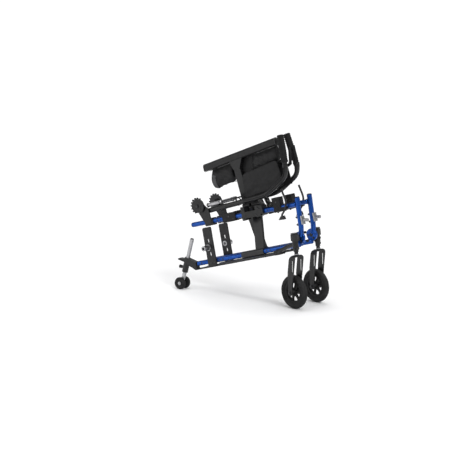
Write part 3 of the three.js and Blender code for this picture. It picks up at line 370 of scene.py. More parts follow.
class Shape:
    """Faces of several forms, each with its own material, that become one piece."""

    def __init__(self, side=None):
        self.side = side
        self.out = Vector((0, OUTBOARD.get(side, 0), 0))
        self.points = []
        self.faces = []
        self.kinds = []

    def at(self, x, y, z):
        return place(self.side, x, y, z)

    def add(self, points, faces, kind=0):
        start = len(self.points)
        self.points += points
        self.faces += [[i + start for i in face] for face in faces]
        self.kinds += [kind] * len(faces)

    def rings(self, rings, kind=0, closed_ends=True):
        """A skin over rings of equally many points."""
        count = len(rings[0])
        faces = []
        for i in range(len(rings) - 1):
            for j in range(count):
                k = (j + 1) % count
                faces.append([i * count + j, i * count + k, (i + 1) * count + k, (i + 1) * count + j])
        if closed_ends:
            faces.append(list(range(count))[::-1])
            faces.append([(len(rings) - 1) * count + j for j in range(count)])
        self.add([p for ring in rings for p in ring], faces, kind)

    def tube(self, path, radius, kind=0, sides=28):
        """A round tube through the points of a path, with softly turned ends."""
        radius *= MM
        lip = radius * END_LIP
        first = path[0] + (path[1] - path[0]).normalized() * lip
        last = path[-1] + (path[-2] - path[-1]).normalized() * lip
        radii = [radius - lip, *[radius] * len(path), radius - lip]
        path = [path[0], first, *path[1:-1], last, path[-1]]
        side = None
        rings = []
        for i, point in enumerate(path):
            tangent = (path[min(i + 1, len(path) - 1)] - path[max(i - 1, 0)]).normalized()
            if side is None:
                helper = Vector((0, 1, 0)) if abs(tangent.y) < 0.9 else Vector((0, 0, 1))
                side = tangent.cross(helper).normalized()
            side = (side - tangent * side.dot(tangent)).normalized()
            other = tangent.cross(side)
            rings.append([point + (side * cos(t) + other * sin(t)) * radii[i] for t in round_turns(sides)])
        self.rings(rings, kind)

    def turned(self, profile, centre, axis, kind=0, sides=48):
        """A form turned about an axis: the profile is (radius, distance along the axis) pairs."""
        axis = axis.normalized()
        side = axis.orthogonal().normalized()
        other = axis.cross(side)
        spokes = [side * cos(t) + other * sin(t) for t in round_turns(sides)]
        rings = [
            [centre + axis * (along * MM) + spoke * (radius * MM) for spoke in spokes]
            for radius, along in profile
        ]
        self.rings(rings, kind, closed_ends=profile[0] != profile[-1])

    def bolt(self, centre, axis, radius, height, kind=0, sides=6):
        """A bolt head on a washer, with a chamfered top."""
        washer = radius * 1.45
        head = [(radius, height * 0.2), (radius, height * 0.86), (radius * 0.82, height)]
        self.turned([(washer, 0), (washer, height * 0.22)], centre, axis, kind, 20)
        self.turned(head, centre, axis, kind, sides)

    def bolts(self, spots, radius, height, kind=0, sides=6):
        """Bolts that face outboard, at x, y, z spots of the side."""
        for spot in spots:
            self.bolt(self.at(*spot), self.out, radius, height, kind, sides)

    def slab(self, outline, direction, low, high, kind=0, chamfer=1.0):
        """A plate with chamfered edges: an outline of points, thickened along a direction."""
        middle = sum(outline, Vector()) / len(outline)
        inner = [p + (middle - p).normalized() * (chamfer * MM) for p in outline]
        layers = ((inner, low), (outline, low + chamfer), (outline, high - chamfer), (inner, high))
        self.rings([[p + direction * (level * MM) for p in layer] for layer, level in layers], kind)

    def made(self, name, kinds, sharp=38):
        """The piece as an object, whose edges over sharp degrees stay sharp."""
        mesh = bpy.data.meshes.new(name)
        mesh.from_pydata([tuple(p) for p in self.points], [], self.faces)
        for kind in kinds:
            mesh.materials.append(material(kind))
        mesh.polygons.foreach_set("material_index", self.kinds)
        mesh.update()
        work = bmesh.new()
        work.from_mesh(mesh)
        bmesh.ops.recalc_face_normals(work, faces=work.faces)
        work.to_mesh(mesh)
        work.free()
        mesh.polygons.foreach_set("use_smooth", [True] * len(mesh.polygons))
        mesh.set_sharp_from_angle(angle=radians(sharp))
        made = bpy.data.objects.new(name, mesh)
        bpy.context.scene.collection.objects.link(made)
        return made

    def seat(self, name, kinds, body, slot, *nodes, sharp=38):
        """The piece made and seated; its name, body and nodes end in the side."""
        tail = f"_{self.side}"
        piece = self.made(name + tail, kinds, sharp)
        seated(piece, body + tail, slot, *(node + tail for node in nodes))


def rounded_path(points, bend, steps=10):
    """A path whose corners are replaced by arcs that start a bend's length before them."""
    path = [points[0]]
    for before, corner, after in zip(points, points[1:], points[2:]):
        reach = min(bend * MM, (corner - before).length / 2.1, (corner - after).length / 2.1)
        enter = corner + (before - corner).normalized() * reach
        leave = corner + (after - corner).normalized() * reach
        for i in range(steps + 1):
            t = i / steps
            path.append(enter * (1 - t) ** 2 + corner * 2 * t * (1 - t) + leave * t**2)
    return [*path, points[-1]]


def smooth_path(at, steps=6):
    """A curve through all the points."""
    path = []
    for i in range(len(at) - 1):
        p0, p1, p2, p3 = at[max(i - 1, 0)], at[i], at[i + 1], at[min(i + 2, len(at) - 1)]
        for k in range(steps):
            t = k / steps
            square, cube = 2 * p0 - 5 * p1 + 4 * p2 - p3, 3 * p1 - p0 - 3 * p2 + p3
            path.append(0.5 * (2 * p1 + (p2 - p0) * t + square * t**2 + cube * t**3))
    return [*path, at[-1]]


def fix_modifiers(piece):
    """The piece keeps its modified mesh, and no modifier."""
    graph = bpy.context.evaluated_depsgraph_get()
    fixed = bpy.data.meshes.new_from_object(piece.evaluated_get(graph))
    piece.modifiers.clear()
    old = piece.data
    piece.data = fixed
    fixed.name = old.name
    bpy.data.meshes.remove(old)


def puffed(piece, voxel, cap):
    """Voxel remesh, then cloth under light pressure, each point held to a cap, then one subdivision."""
    remesh = piece.modifiers.new("Remesh", "REMESH")
    remesh.mode = "VOXEL"
    remesh.voxel_size = voxel
    fix_modifiers(piece)
    rest = [v.co.copy() for v in piece.data.vertices]
    scene = bpy.context.scene
    soft = piece.modifiers.new("Cloth", "CLOTH")
    soft.settings.use_pressure = True
    soft.settings.uniform_pressure_force = PUFF_PRESSURE
    soft.settings.effector_weights.gravity = 0.0
    soft.settings.quality = 5
    soft.point_cache.frame_end = PUFF_FRAMES
    for step in range(1, PUFF_FRAMES + 1):
        scene.frame_set(step)
    fix_modifiers(piece)
    scene.frame_set(1)
    for vertex, start in zip(piece.data.vertices, rest):
        moved = vertex.co - start
        if moved.length > cap:
            vertex.co = start + moved.normalized() * cap
    smooth = piece.modifiers.new("Smooth", "SUBSURF")
    smooth.levels = 1
    fix_modifiers(piece)
    piece.data.polygons.foreach_set("use_smooth", [True] * len(piece.data.polygons))


def wrinkled(piece, depth, length, seed, along, hold=None):
    """Shallow folds: the surface moves along its normals by noise that is stretched along a direction."""
    mesh = piece.data
    normals = [v.normal.copy() for v in mesh.vertices]
    for vertex, normal in zip(mesh.vertices, normals):
        spot = vertex.co.copy()
        spot += along * spot.dot(along) * 0.9
        height = noise.noise(spot / (length * MM) + Vector((seed, 0, 0)))
        fine = noise.noise(spot / (length * MM * 0.4) + Vector((0, seed, 0)))
        share = hold(vertex.co) if hold else 1.0
        vertex.co += normal * (depth * MM) * share * (height + 0.4 * fine)
    mesh.update()


# Frame tubes. A bolt row is the face's distance outboard, the radius and the height.

TUBES = {
    "lower": {
        "span": (0, 579), "z": 0, "radius": LOWER_RADIUS, "bolts": (28, 132, 150, 398, 418),
        "plug": [(10.2, 0), (10.4, 1.8), (8.6, 4.4), (3, 5.8)], "bolt": (10.4, 2.6, 2.2),
    },
    "upper": {
        "span": (17, 602.5), "z": 174, "radius": 10.75, "bolts": (165, 182, 450, 462),
        "plug": [(10, 0), (10.2, 1.6), (8.4, 4), (3, 5.2)], "bolt": (10.2, 2.4, 2),
    },
}
FRONT = {"corners": ((615.4, 203), (602, 64), (590, 32)), "radius": 11.5, "bend": 30}
FRONT_PLUG = [(10.8, 0), (10.9, 1.2), (9.2, 3.4), (3, 4.4)]
PLUG_SINK = 0.6
WELD = {"x": 600.6, "bead": [(10.8, -3), (12.2, -1.6), (12.4, 0.4), (10.8, 2)]}
TILT = {"x": 584, "z": 29, "radius": 27, "half": 7, "bore": 9.3, "bolt_ring": 17, "bolt": (6.4, 3.5, 3.6)}
TILT_BOLT_TURNS = (60, 180, 300)
TUBE_KINDS = ["blue", "plastic", "dark_metal"]


def straight_tube(side, name, sides):
    shape = Shape(side)
    tube = TUBES[name]
    start, end = tube["span"]
    shape.tube([shape.at(x, 0, tube["z"]) for x in (start, end)], tube["radius"], 0, sides)
    shape.turned(tube["plug"], shape.at(start + 0.5, 0, tube["z"]), -ALONG, 1)
    face, radius, height = tube["bolt"]
    shape.bolts([(x, face, tube["z"]) for x in tube["bolts"]], radius, height, 2, 12)
    shape.seat(f"{name}_tube_paint", TUBE_KINDS, "seat_frame", "blue_paint", f"{name}_tube")


def front_tube(side, sides):
    shape = Shape(side)
    path = rounded_path([shape.at(x, 0, z) for x, z in FRONT["corners"]], FRONT["bend"])
    shape.tube(path, FRONT["radius"], 0, sides)
    top = (path[0] - path[1]).normalized()
    shape.turned(FRONT_PLUG, path[0] - top * (PLUG_SINK * MM), top, 1)
    r, h, bore = TILT["radius"], TILT["half"], TILT["bore"]
    plate = [(bore, -h), (r * 0.62, -h), (r * 0.66, -h * 0.86), (r - 1.6, -h * 0.86), (r, -h * 0.6)]
    shape.turned(closed(mirrored(plate)), shape.at(TILT["x"], 0, TILT["z"]), shape.out, 0, 56)
    y, radius, height = TILT["bolt"]
    for turn in map(radians, TILT_BOLT_TURNS):
        x = TILT["x"] + TILT["bolt_ring"] * cos(turn)
        z = TILT["z"] + TILT["bolt_ring"] * sin(turn)
        for face in (-1, 1):
            shape.bolt(shape.at(x, face * y, z), shape.out * face, radius, height, 2)
    # A bead where the upper tube meets the front tube
    shape.turned(closed(WELD["bead"]), shape.at(WELD["x"], 0, TUBES["upper"]["z"]), ALONG, 0, 40)
    shape.seat("front_tube_paint", TUBE_KINDS, "seat_frame", "blue_paint", "front_tube")


class CHAIR_OT_frame_tubes(bpy.types.Operator):
    """Blue seat frames: lower, upper and front tubes with plugs, welds, and the round tilt plate"""

    bl_idname = "chair.frame_tubes"
    bl_label = "Frame tubes"

    def execute(self, context):
        sides = context.scene.chair_sizes.tube_sides
        for side in SIDES:
            for name in TUBES:
                straight_tube(side, name, sides)
            front_tube(side, sides)
        return {"FINISHED"}


# Back canes, grips, cables and gas springs

CANE = {"start": (100, 221), "grow": 0.052, "knee_x": 455, "end": (586, 303), "top_z": 362, "bend": 42}
POST = {"x": 84, "z": 252}
LUG = [(84, 212), (142, 212), (142, 226), (115, 232), (94, 261), (87, 265), (77, 263), (73, 250)]
LUG_HALF = 5.8
CANE_COLLAR = [(11.1, -12), (13.1, -10), (13.1, -2), (11.1, 0)]
CANE_BAND = mirrored([(11.1, -4), (12.2, -3.4)])
GRIP_LENGTH = 122
GRIP_LEAN = {"near": radians(-4), "far": radians(6.5)}
GRIP_RIBS = 11
# A rib's shares of the pitch and of the radius
RIB = ((0.05, 0.885), (0.2, 0.94), (0.5, 0.955), (0.8, 0.94), (0.95, 0.885))
CABLE = [
    (587, 13.6, 350), (586, 13.9, 334), (577, 14, 309), (560, 13.8, 292), (530, 13.7, 276), (498, 13.7, 260),
    (462, 13.7, 243), (424, 13.7, 238), (380, 13.7, 236), (344, 13.7, 236), (322, 12, 243), (308, 7, 251),
    (297, 3, 255),
]
CABLE_RADIUS = 2.2
FERRULE = [(2.2, 0), (3, 1), (3, 7.5), (2.3, 9)]
SPRING = {"rise": 24, "start": 122, "rod": (205.5, 290), "nut": 282, "pin": 286, "rings": (126, 196)}
CYLINDER = [
    (3, 0.3), (7.4, 0.3), (8.5, 1.6), (8.5, 76), (8, 77.5), (9.6, 78.5), (9.8, 81.5), (7.2, 84), (4.5, 84.5),
]


def cane_height(x):
    """The height of a cane's straight part above the lower tube."""
    return CANE["start"][1] + (x - CANE["start"][0]) * CANE["grow"]


def handle(side):
    """The corners of a cane's centre line from its hinge to its grip, and the grip's direction."""
    end_x, end_z = CANE["end"]
    top = (end_x - tan(GRIP_LEAN[side]) * (CANE["top_z"] - end_z), CANE["top_z"])
    knee = (CANE["knee_x"], cane_height(CANE["knee_x"]))
    corners = [place(side, x, 0, z) for x, z in (CANE["start"], knee, CANE["end"], top)]
    return corners, (corners[3] - corners[2]).normalized()


def back_cane(side, sizes):
    shape = Shape(side)
    (*corners, foot), along = handle(side)
    path = rounded_path([*corners, foot + along * (GRIP_LENGTH - 9) * MM], CANE["bend"], 14)
    shape.tube(path, sizes.cane_radius / MM, 0, sizes.tube_sides)
    shape.slab([shape.at(x, 0, z) for x, z in LUG], shape.out, -LUG_HALF, LUG_HALF, 1)
    hinge = shape.at(POST["x"], 0, POST["z"])
    shape.bolt(hinge - shape.out * (LUG_HALF * MM), -shape.out, 6.2, 5, 2)
    shape.turned([(6, 0), (6, 11.2)], hinge, shape.out, 2, 20)
    shape.turned(CANE_COLLAR, path[-1] - along * (GRIP_LENGTH - 2) * MM, along, 1, 32)
    for x in (222, 330):
        shape.turned(CANE_BAND, shape.at(x, 0, cane_height(x)), ALONG, 1, 32)
    shape.seat("cane_tube", ["black", "black", "dark_metal"], "back", "black_paint", "cane")


def push_grip(side, sizes):
    shape = Shape(side)
    corners, along = handle(side)
    r = sizes.grip_radius / MM
    end = GRIP_LENGTH
    pitch = (end - 21) / GRIP_RIBS
    profile = [(11.3, 0.5), (r * 0.97, 0.5), (r, 1.8), (r, 7.2), (r * 0.97, 8.6), (r * 0.9, 9.8)]
    for i in range(GRIP_RIBS):
        start = 10.5 + i * pitch
        swell = 1 + 0.035 * sin(pi * i / (GRIP_RIBS - 1))
        profile += [(r * reach * swell, start + share * pitch) for share, reach in RIB]
    profile += [
        (r * 0.93, end - 8.5), (r * 0.97, end - 6), (r * 0.9, end - 2), (r * 0.62, end - 0.4), (r * 0.2, end),
    ]
    shape.turned(profile, corners[-1], along, 0, 36)
    shape.seat("push_grip", ["rubber"], "back", "black_rubber", "grip", sharp=60)


def release_cable(side):
    shape = Shape(side)
    route = smooth_path([shape.at(*spot) for spot in CABLE])
    shape.tube(route, CABLE_RADIUS, 0, 12)
    for end, before in ((route[0], route[1]), (route[-1], route[-2])):
        direction = (end - before).normalized()
        shape.turned(FERRULE, end - direction * (FERRULE[-1][1] * MM), direction, 1, 16)
    kinds = ["plastic", "dark_metal"]
    shape.seat("release_cable_sheath", kinds, "back", "black_plastic", "release_cable", sharp=70)


def gas_spring(side):
    shape = Shape(side)

    def at(x):
        return shape.at(x, 0, cane_height(x) + SPRING["rise"])

    along = (at(300) - at(100)).normalized()
    shape.turned(CYLINDER, at(SPRING["start"]), along, 0, 36)
    shape.tube([at(x) for x in SPRING["rod"]], 3.6, 1, 18)
    shape.turned([(3.8, -8), (6.6, -7.2), (6.8, 6.8), (3.8, 7.5)], at(SPRING["nut"]), along, 2, 8)
    low = shape.at(SPRING["pin"], 0, cane_height(SPRING["pin"]) + 11.3)
    pin = at(SPRING["pin"]) - low
    shape.turned([(4, 0), (4, pin.length / MM)], low, pin.normalized(), 2, 12)
    for x in SPRING["rings"]:
        shape.turned(mirrored([(8.6, -1.6), (9.9, -1)]), at(x), along, 2, 32)
    shape.seat("gas_cylinder", ["metal", "dark_metal", "black"], "back", "silver", "gas_spring")


class CHAIR_OT_canes(bpy.types.Operator):
    """Back canes with their hinge lugs, ribbed push grips and release cables"""

    bl_idname = "chair.canes"
    bl_label = "Canes, grips and cables"

    def execute(self, context):
        sizes = context.scene.chair_sizes
        for side in SIDES:
            back_cane(side, sizes)
            push_grip(side, sizes)
            release_cable(side)
            gas_spring(side)
        return {"FINISHED"}


# Casters

RIM = 52
WEB = 12.5
BOSS = 22.2
TYRE_STEPS = 24
GROOVES = {9: 1.2, 15: 1.2}  # depth at a step round the tyre
SPOKE_SECTION = ((-1, -0.6), (-0.8, -1), (0.8, -1), (1, -0.6), (1, 0.6), (0.8, 1), (-0.8, 1), (-1, 0.6))
STEM_RING = [(8.6, 0), (9.9, 1.2), (9.9, 3.4), (8.6, 4.6)]


def caster_tyre(side, centre, axle, sizes):
    shape = Shape(side)
    half = sizes.wheel_width / MM / 2
    depth = sizes.wheel_radius / MM * 0.995 - RIM
    profile = [(RIM, -half * 0.68)]
    for i in range(TYRE_STEPS + 1):
        turn = pi * (i / TYRE_STEPS - 0.5)
        reach = depth * (0.40 + 0.60 * cos(turn) ** 0.8)
        profile.append((RIM + reach - GROOVES.get(i, 0), half * sin(turn)))
    profile.append((RIM, half * 0.68))
    shape.turned(closed(profile), centre, axle, 0, 96)
    shape.seat("caster_tyre_rubber", ["tyre"], "caster_wheel", "tyre", "caster_tyre", sharp=50)


def caster_hub(side, centre, axle, sizes):
    shape = Shape(side)
    outer = RIM - 0.3
    inner = outer - WEB
    half = sizes.wheel_width / MM * 0.34
    rim = [
        (inner + 1.4, -half * 0.9), (outer - 3, -half), (outer, -half * 0.92), (outer, half * 0.92),
        (outer - 3, half), (inner + 1.4, half * 0.9), (inner, half * 0.5), (inner, -half * 0.5),
    ]
    boss = [(4.7, -BOSS), (9.8, -BOSS), (11.8, 2 - BOSS), (13, -half), (15.2, -half * 0.5)]
    shape.turned(closed(rim), centre, axle, 0, 72)
    shape.turned(closed(mirrored(boss)), centre, axle, 0, 40)
    upright = axle.orthogonal().normalized()
    other = axle.cross(upright)
    for i in range(sizes.spokes):
        turn = 2 * pi * (i + 0.5) / sizes.spokes
        out = upright * cos(turn) + other * sin(turn)
        beside = axle.cross(out)
        rings = []
        for share in (0.0, 0.25, 0.55, 0.8, 1.0):
            reach = (12 + share * (inner - 10)) * MM
            waist = 3.4 * sin(pi * min(share, 0.6) / 1.2)
            wide = (7.8 - waist + 12 * max(0, share - 0.6)) * MM
            thick = half * (0.62 - 0.2 * share) * MM
            middle = centre + out * reach
            rings.append([middle + beside * wide * a + axle * thick * b for a, b in SPOKE_SECTION])
        shape.rings(rings)
    shape.seat("caster_wheel_hub", ["plastic"], "caster_wheel", "black_plastic", "caster_hub", sharp=45)


def fork_bolts(side, centre, axle):
    shape = Shape(side)
    for face in (-1, 1):
        shape.bolt(centre + axle * face * (29.2 * MM), axle * face, 6.2, 4.2)
    stem_place, stem_axis = joint(f"caster_swivel_{side}")
    shape.turned(STEM_RING, stem_place - stem_axis * (50 * MM), stem_axis, 1, 30)
    shape.seat("caster_fork_bolts", ["dark_metal", "metal"], "caster", "silver")


class CHAIR_OT_casters(bpy.types.Operator):
    """Front wheels: grooved tyres on spoked hubs, and bolts on their forks"""

    bl_idname = "chair.casters"
    bl_label = "Casters"

    def execute(self, context):
        sizes = context.scene.chair_sizes
        for side in SIDES:
            centre, axle = joint(f"caster_roll_{side}")
            caster_tyre(side, centre, axle, sizes)
            caster_hub(side, centre, axle, sizes)
            fork_bolts(side, centre, axle)
        return {"FINISHED"}


# Anti-tip leg

ROLLER = {"radius": 27.3, "near": 9.8, "width": 15}
LEG_PLUG = [(7.6, 0), (7.8, 0.8), (6.6, 2), (2, 2.6)]


def antitip_roller(name, centre, out):
    shape = Shape()
    r, near = ROLLER["radius"], ROLLER["near"]
    far = near + ROLLER["width"]
    tread = [
        (4.3, near), (r - 4, near), (r - 1.2, near + 1.2), (r * 0.998, near + 4), (r * 0.998, far - 4),
        (r - 1.2, far - 1.2), (r - 4, far), (r * 0.66, far), (r * 0.6, far - 2.6), (r * 0.3, far - 3),
        (4.3, far - 2.8),
    ]
    cap = [(4.4, far - 3), (7.8, far - 3), (7.8, far - 0.5), (6, far + 0.4), (2, far + 0.6)]
    shape.turned(closed(tread), centre, out, 0, 64)
    shape.turned(cap, centre, out, 1, 24)
    piece = shape.made(f"antitip_roller_rubber_{name}", ["tyre", "metal"], 40)
    seated(piece, f"antitip_roller_{name}", "tyre", f"antitip_wheel_{name}")


def antitip_leg(centre):
    axis = joint_axis("antitip_slide")
    highest = Vector(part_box("antitip_tube")[1]).z
    top = centre + axis * ((highest - centre.z) / axis.z - 2.4 * MM)
    shape = Shape()
    shape.tube([centre + axis * (16 * MM), top], 9, 0, 32)
    shape.turned(LEG_PLUG, top - axis * (0.4 * MM), axis, 1, 28)
    shape.turned([(11.3, -9.2), (11.3, 9.2)], centre, Vector((0, 1, 0)), 2, 30)
    shape.turned([(7.2, 0), (7.2, 28)], centre, axis, 2, 24)
    for face in (-1, 1):
        shape.turned([(4, 0), (4, 25.7)], centre, Vector((0, face, 0)), 0, 20)
    piece = shape.made("antitip_leg_tube", ["metal", "plastic", "black"])
    seated(piece, "antitip_leg", "silver", "antitip_tube")


class CHAIR_OT_antitip(bpy.types.Operator):
    """Anti-tip rollers and the smooth leg between them"""

    bl_idname = "chair.antitip"
    bl_label = "Anti-tip leg"

    def execute(self, context):
        centre, axle = joint("antitip_roll_outer")
        antitip_roller("outer", centre, -axle)
        antitip_roller("inner", centre, axle)
        antitip_leg(centre)
        return {"FINISHED"}


# Padded seat rails, sling and back upholstery

PAD = {"start": 128, "end": 551, "half": 12.4, "straight": 10.2, "side": 17.6, "steps": 44}
PAD_PITCH = tan(radians(6.9))
PIPING_TURNS = (62, 118, -62)
RAIL_BASE = 429.0
RAIL_MIDDLE = 333.5


def rail_height(x):
    """The height of a seat rail's centre line above the frame's lower tube."""
    return RAIL_BASE + (x - RAIL_MIDDLE) * PAD_PITCH


def end_swell(i, count, reach):
    """From 0 at either end of count steps to 1 where reach steps are passed."""
    return sin(pi / 2 * min(1.0, min(i, count - i) / reach))


def pad_section(x, sign, grow, count=28):
    """One outline of the cover: upright, round at both ends, slightly hollow along its sides."""
    half = PAD["half"] * grow
    ring = []
    for turn in round_turns(count):
        z = rail_height(x) + (PAD["straight"] if sin(turn) > 0 else 0) + half * sin(turn)
        waist = 1 - 0.05 * cos(turn) ** 8
        ring.append(middle_place(x, sign * PAD["side"] + half * cos(turn) * waist, z))
    return ring


def pad_cover(side, sign, sizes):
    shape = Shape(side)
    count = PAD["steps"]
    rings = []
    for i in range(count + 1):
        x = PAD["start"] + (PAD["end"] - PAD["start"]) * i / count
        rings.append(pad_section(x, sign, 0.80 + 0.17 * end_swell(i, count, 3)))
    shape.rings(rings)
    pad = shape.made(f"rail_pad_cover_{side}", ["vinyl"])
    puffed(pad, sizes.pad_voxel * 0.7, sizes.pad_swell)
    wrinkled(pad, 0.7, 35, 3.0 + sign, ALONG)
    return pad


def pad_trim(side, sign):
    shape = Shape(side)
    reach = PAD["half"] * 0.96
    for turn in map(radians, PIPING_TURNS):
        path = []
        for i in range(PAD["steps"] + 1):
            x = PAD["start"] + 5 + (PAD["end"] - PAD["start"] - 10) * i / PAD["steps"]
            z = rail_height(x) + (PAD["straight"] if turn > 0 else 0) + reach * sin(turn)
            path.append(middle_place(x, sign * PAD["side"] + reach * cos(turn), z))
        shape.tube(path, 1.1, 0, 8)
    # A ring round each end: dark at the rear, pale cloth at the front as a painted highlight of light on the
    # pad's rounded end
    for x, kind in ((PAD["start"] + 3, 0), (PAD["end"] - 4, 1)):
        shape.tube(closed(pad_section(x, sign, 0.95, 40)), 1, kind, 8)
    return shape.made(f"rail_pad_piping_{side}", ["plastic", "lining"], 70)


class CHAIR_OT_rail_pads(bpy.types.Operator):
    """Padded covers of the two seat rails, with piping, end caps and stitched ends; the pale ring at each front
    end is a painted highlight
    """

    bl_idname = "chair.rail_pads"
    bl_label = "Seat rail pads"

    def execute(self, context):
        sizes = context.scene.chair_sizes
        for side, sign, body in (("near", -1, "brace_b"), ("far", 1, "brace_a")):
            pad = pad_cover(side, sign, sizes)
            seated(pad, body, "black_fabric", f"rail_pad_{side}")
            seated(pad_trim(side, sign), body, "black_fabric")
        return {"FINISHED"}


# Each length of the sling: its ends, half width at the top, and the seed of its folds
SLING = {
    "rear": {"start": 160, "end": 281, "half": 8.5, "seed": 7.0},
    "front": {"start": 399, "end": 540, "half": 9.7, "seed": 11.0},
}
SLING_LENGTH = 380
SLING_TOP = -8
SLING_DROP = 98
SLING_FULL = 22
STRIP = {"start": 277, "length": 126, "steps": 32, "half": 2.8, "drop": 74}


def hung(piece):
    """Bakes the cloth's place into its mesh."""
    middle = middle_place(RAIL_MIDDLE, 0, 0)
    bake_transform(piece)


def sling_strip():
    """The folded cloth where it passes between the two brace arms."""
    shape = Shape()
    rings = []
    for step in range(STRIP["steps"] + 1):
        x = STRIP["start"] + step * STRIP["length"] / STRIP["steps"]
        sway = 0.8 * sin(x * 0.11)
        ring = []
        for turn in round_turns(20):
            depth = (1 - sin(turn)) / 2
            z = rail_height(x) + SLING_TOP - STRIP["drop"] * depth
            ring.append(middle_place(x, STRIP["half"] * cos(turn) + sway * depth, z))
        rings.append(ring)
    shape.rings(rings)
    return shape.made("seat_sling_cloth_middle", ["cloth"])


def sling_section(x, name, shrink, count=36):
    """A drop-shaped outline, narrow between the rails and full at its foot."""
    rear = SLING["rear"]
    along = x - rear["start"]
    drop = SLING_DROP * (1 - 0.18 * max(0.0, along / SLING_LENGTH))
    if name == "rear":
        past = along / (rear["end"] - rear["start"]) * 2.2
        drop *= 0.72 + 0.28 * sqrt(sin(pi / 2 * min(1.0, 0.18 + past)))
    half = SLING[name]["half"]
    ring = []
    for turn in round_turns(count):
        depth = (1 - sin(turn)) / 2
        wide = half + (SLING_FULL - half) * sin(pi * max(0.0, depth * 0.9 - 0.09))
        z = rail_height(x) + SLING_TOP - depth * drop * (0.5 + shrink / 2)
        ring.append(middle_place(x - depth * 7, cos(turn) * wide * shrink, z))
    return ring


def sling_fold(name, sizes):
    shape = Shape()
    length = SLING[name]
    count = 26
    rings = []
    for i in range(count + 1):
        x = length["start"] + (length["end"] - length["start"]) * i / count
        rings.append(sling_section(x, name, 0.82 + 0.12 * end_swell(i, count, 4)))
    shape.rings(rings)
    sling = shape.made(f"seat_sling_cloth_{name}", ["cloth"])
    puffed(sling, sizes.pad_voxel * 0.8, sizes.pad_swell * 5)
    lowest = min(v.co.z for v in sling.data.vertices)
    highest = max(v.co.z for v in sling.data.vertices)

    def hold(co):
        return min(1.0, max(0.0, (highest - co.z) / (highest - lowest) * 2.2 - 0.2))

    wrinkled(sling, 2.6, 24, length["seed"], Vector((0, 0, 1)), hold)
    return sling


def sling_hems(name):
    shape = Shape()
    start, end = SLING[name]["start"] + 1.5, SLING[name]["end"] - 1.5
    for x in (start, end):
        shape.tube(closed(sling_section(x, name, 0.96, 60)), 1.4, 0, 8)
    # The rear length gets a pale band round its end: a painted highlight of light on the sling's rolled rear
    # edge
    if name == "rear":
        shape.rings([sling_section(start + step * 3, name, 1.0, 48) for step in range(8)], 1)
    return shape.made(f"seat_sling_hem_{name}", ["plastic", "lining"], 70)


class CHAIR_OT_sling(bpy.types.Operator):
    """The seat cloth that hangs folded between the rails, in two lengths beside the brace arms"""

    bl_idname = "chair.sling"
    bl_label = "Seat sling"

    def execute(self, context):
        sizes = context.scene.chair_sizes
        for name in SLING:
            sling = sling_fold(name, sizes)
            hung(sling)
            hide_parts(f"seat_sling_{name}")
            hung(sling_hems(name))
        strip = sling_strip()
        hung(strip)
        return {"FINISHED"}


LEAF = {"start": 330, "end": 548, "height": 115, "corner": 22, "thick": 1.7, "fold": 4.2, "outer": -11.5}
LEAF_COLUMNS, LEAF_ROWS = 56, 36


def leaf_spot(side, u, v, y):
    """A point of the leaf: u along the cane, v away from it, both from 0 to 1."""
    length = LEAF["end"] - LEAF["start"]
    x = LEAF["start"] + length * u
    foot = cane_height(x) + 5.5 + 15 * u
    height = LEAF["height"] * (1 - 0.06 * (1 - u))
    edge = LEAF["corner"] * 0.8
    round_off = max(0.0, 1 - min(u, 1 - u) * length / edge)
    z = foot + v * (height - edge * (1 - sqrt(1 - round_off**2)) * v)
    return place(side, x + (v * 7 if u < 0.5 else -v * 7) * abs(1 - 2 * u), y, z)


def leaf_lift(side, u, v):
    """How far the folds stand off the flat leaf."""
    sway = noise.noise(Vector((u * 3.0, v * 1.5, 4.0 + OUTBOARD[side])))
    fine = noise.noise(Vector((u * 14.0, v * 8.0, 9.0)))
    ridge = 0.5 + 0.5 * sin(pi * (5.2 * v + 1.1 * sway + 0.5 * u))
    return (LEAF["fold"] * ridge + fine) * sqrt(sin(pi * v) * sin(pi * u))


def back_leaf(side):
    shape = Shape(side)
    columns, rows = LEAF_COLUMNS, LEAF_ROWS
    points = []
    for y in (LEAF["outer"], LEAF["outer"] - LEAF["thick"]):
        for j in range(rows + 1):
            for i in range(columns + 1):
                u, v = i / columns, j / rows
                point = leaf_spot(side, u, v, y)
                if 0 < j < rows and 0 < i < columns:
                    point += shape.out * (leaf_lift(side, u, v) * MM)
                points.append(point)
    width = columns + 1
    size = width * (rows + 1)
    faces = []
    for layer in (0, size):
        for j in range(rows):
            for i in range(columns):
                a = layer + j * width + i
                faces.append([a, a + 1, a + width + 1, a + width])
    edge = [
        *range(columns), *(j * width + columns for j in range(rows)),
        *(rows * width + i for i in range(columns, 0, -1)), *(j * width for j in range(rows, 0, -1)),
    ]
    faces += [[a, b, b + size, a + size] for a, b in zip(edge, edge[1:] + edge[:1])]
    shape.add(points, faces)
    return shape.made(f"back_cloth_{side}", ["cloth"], 60)


def leaf_hem(side):
    shape = Shape(side)
    y = LEAF["outer"] - 0.2 - LEAF["thick"] / 2
    rim = [(0, v / 10) for v in range(11)] + [(u / 24, 1) for u in range(1, 25)]
    rim += [(1, 1 - v / 10) for v in range(1, 11)]
    shape.tube([leaf_spot(side, u, v, y) for u, v in rim], 1.4, 0, 10)
    return shape.made(f"back_cloth_hem_{side}", ["plastic"], 70)


class CHAIR_OT_back_cloth(bpy.types.Operator):
    """Two leaves of back upholstery, one on each cane, with hems and shallow folds"""

    bl_idname = "chair.back_cloth"
    bl_label = "Back upholstery"

    def execute(self, context):
        for side in SIDES:
            leaf = back_leaf(side)
            seated(leaf, f"back_{side}", "black_fabric", f"back_upholstery_{side}")
            seated(leaf_hem(side), f"back_{side}", "black_fabric")
        return {"FINISHED"}


# Recline discs, fasteners and finishes of the carried-over pieces

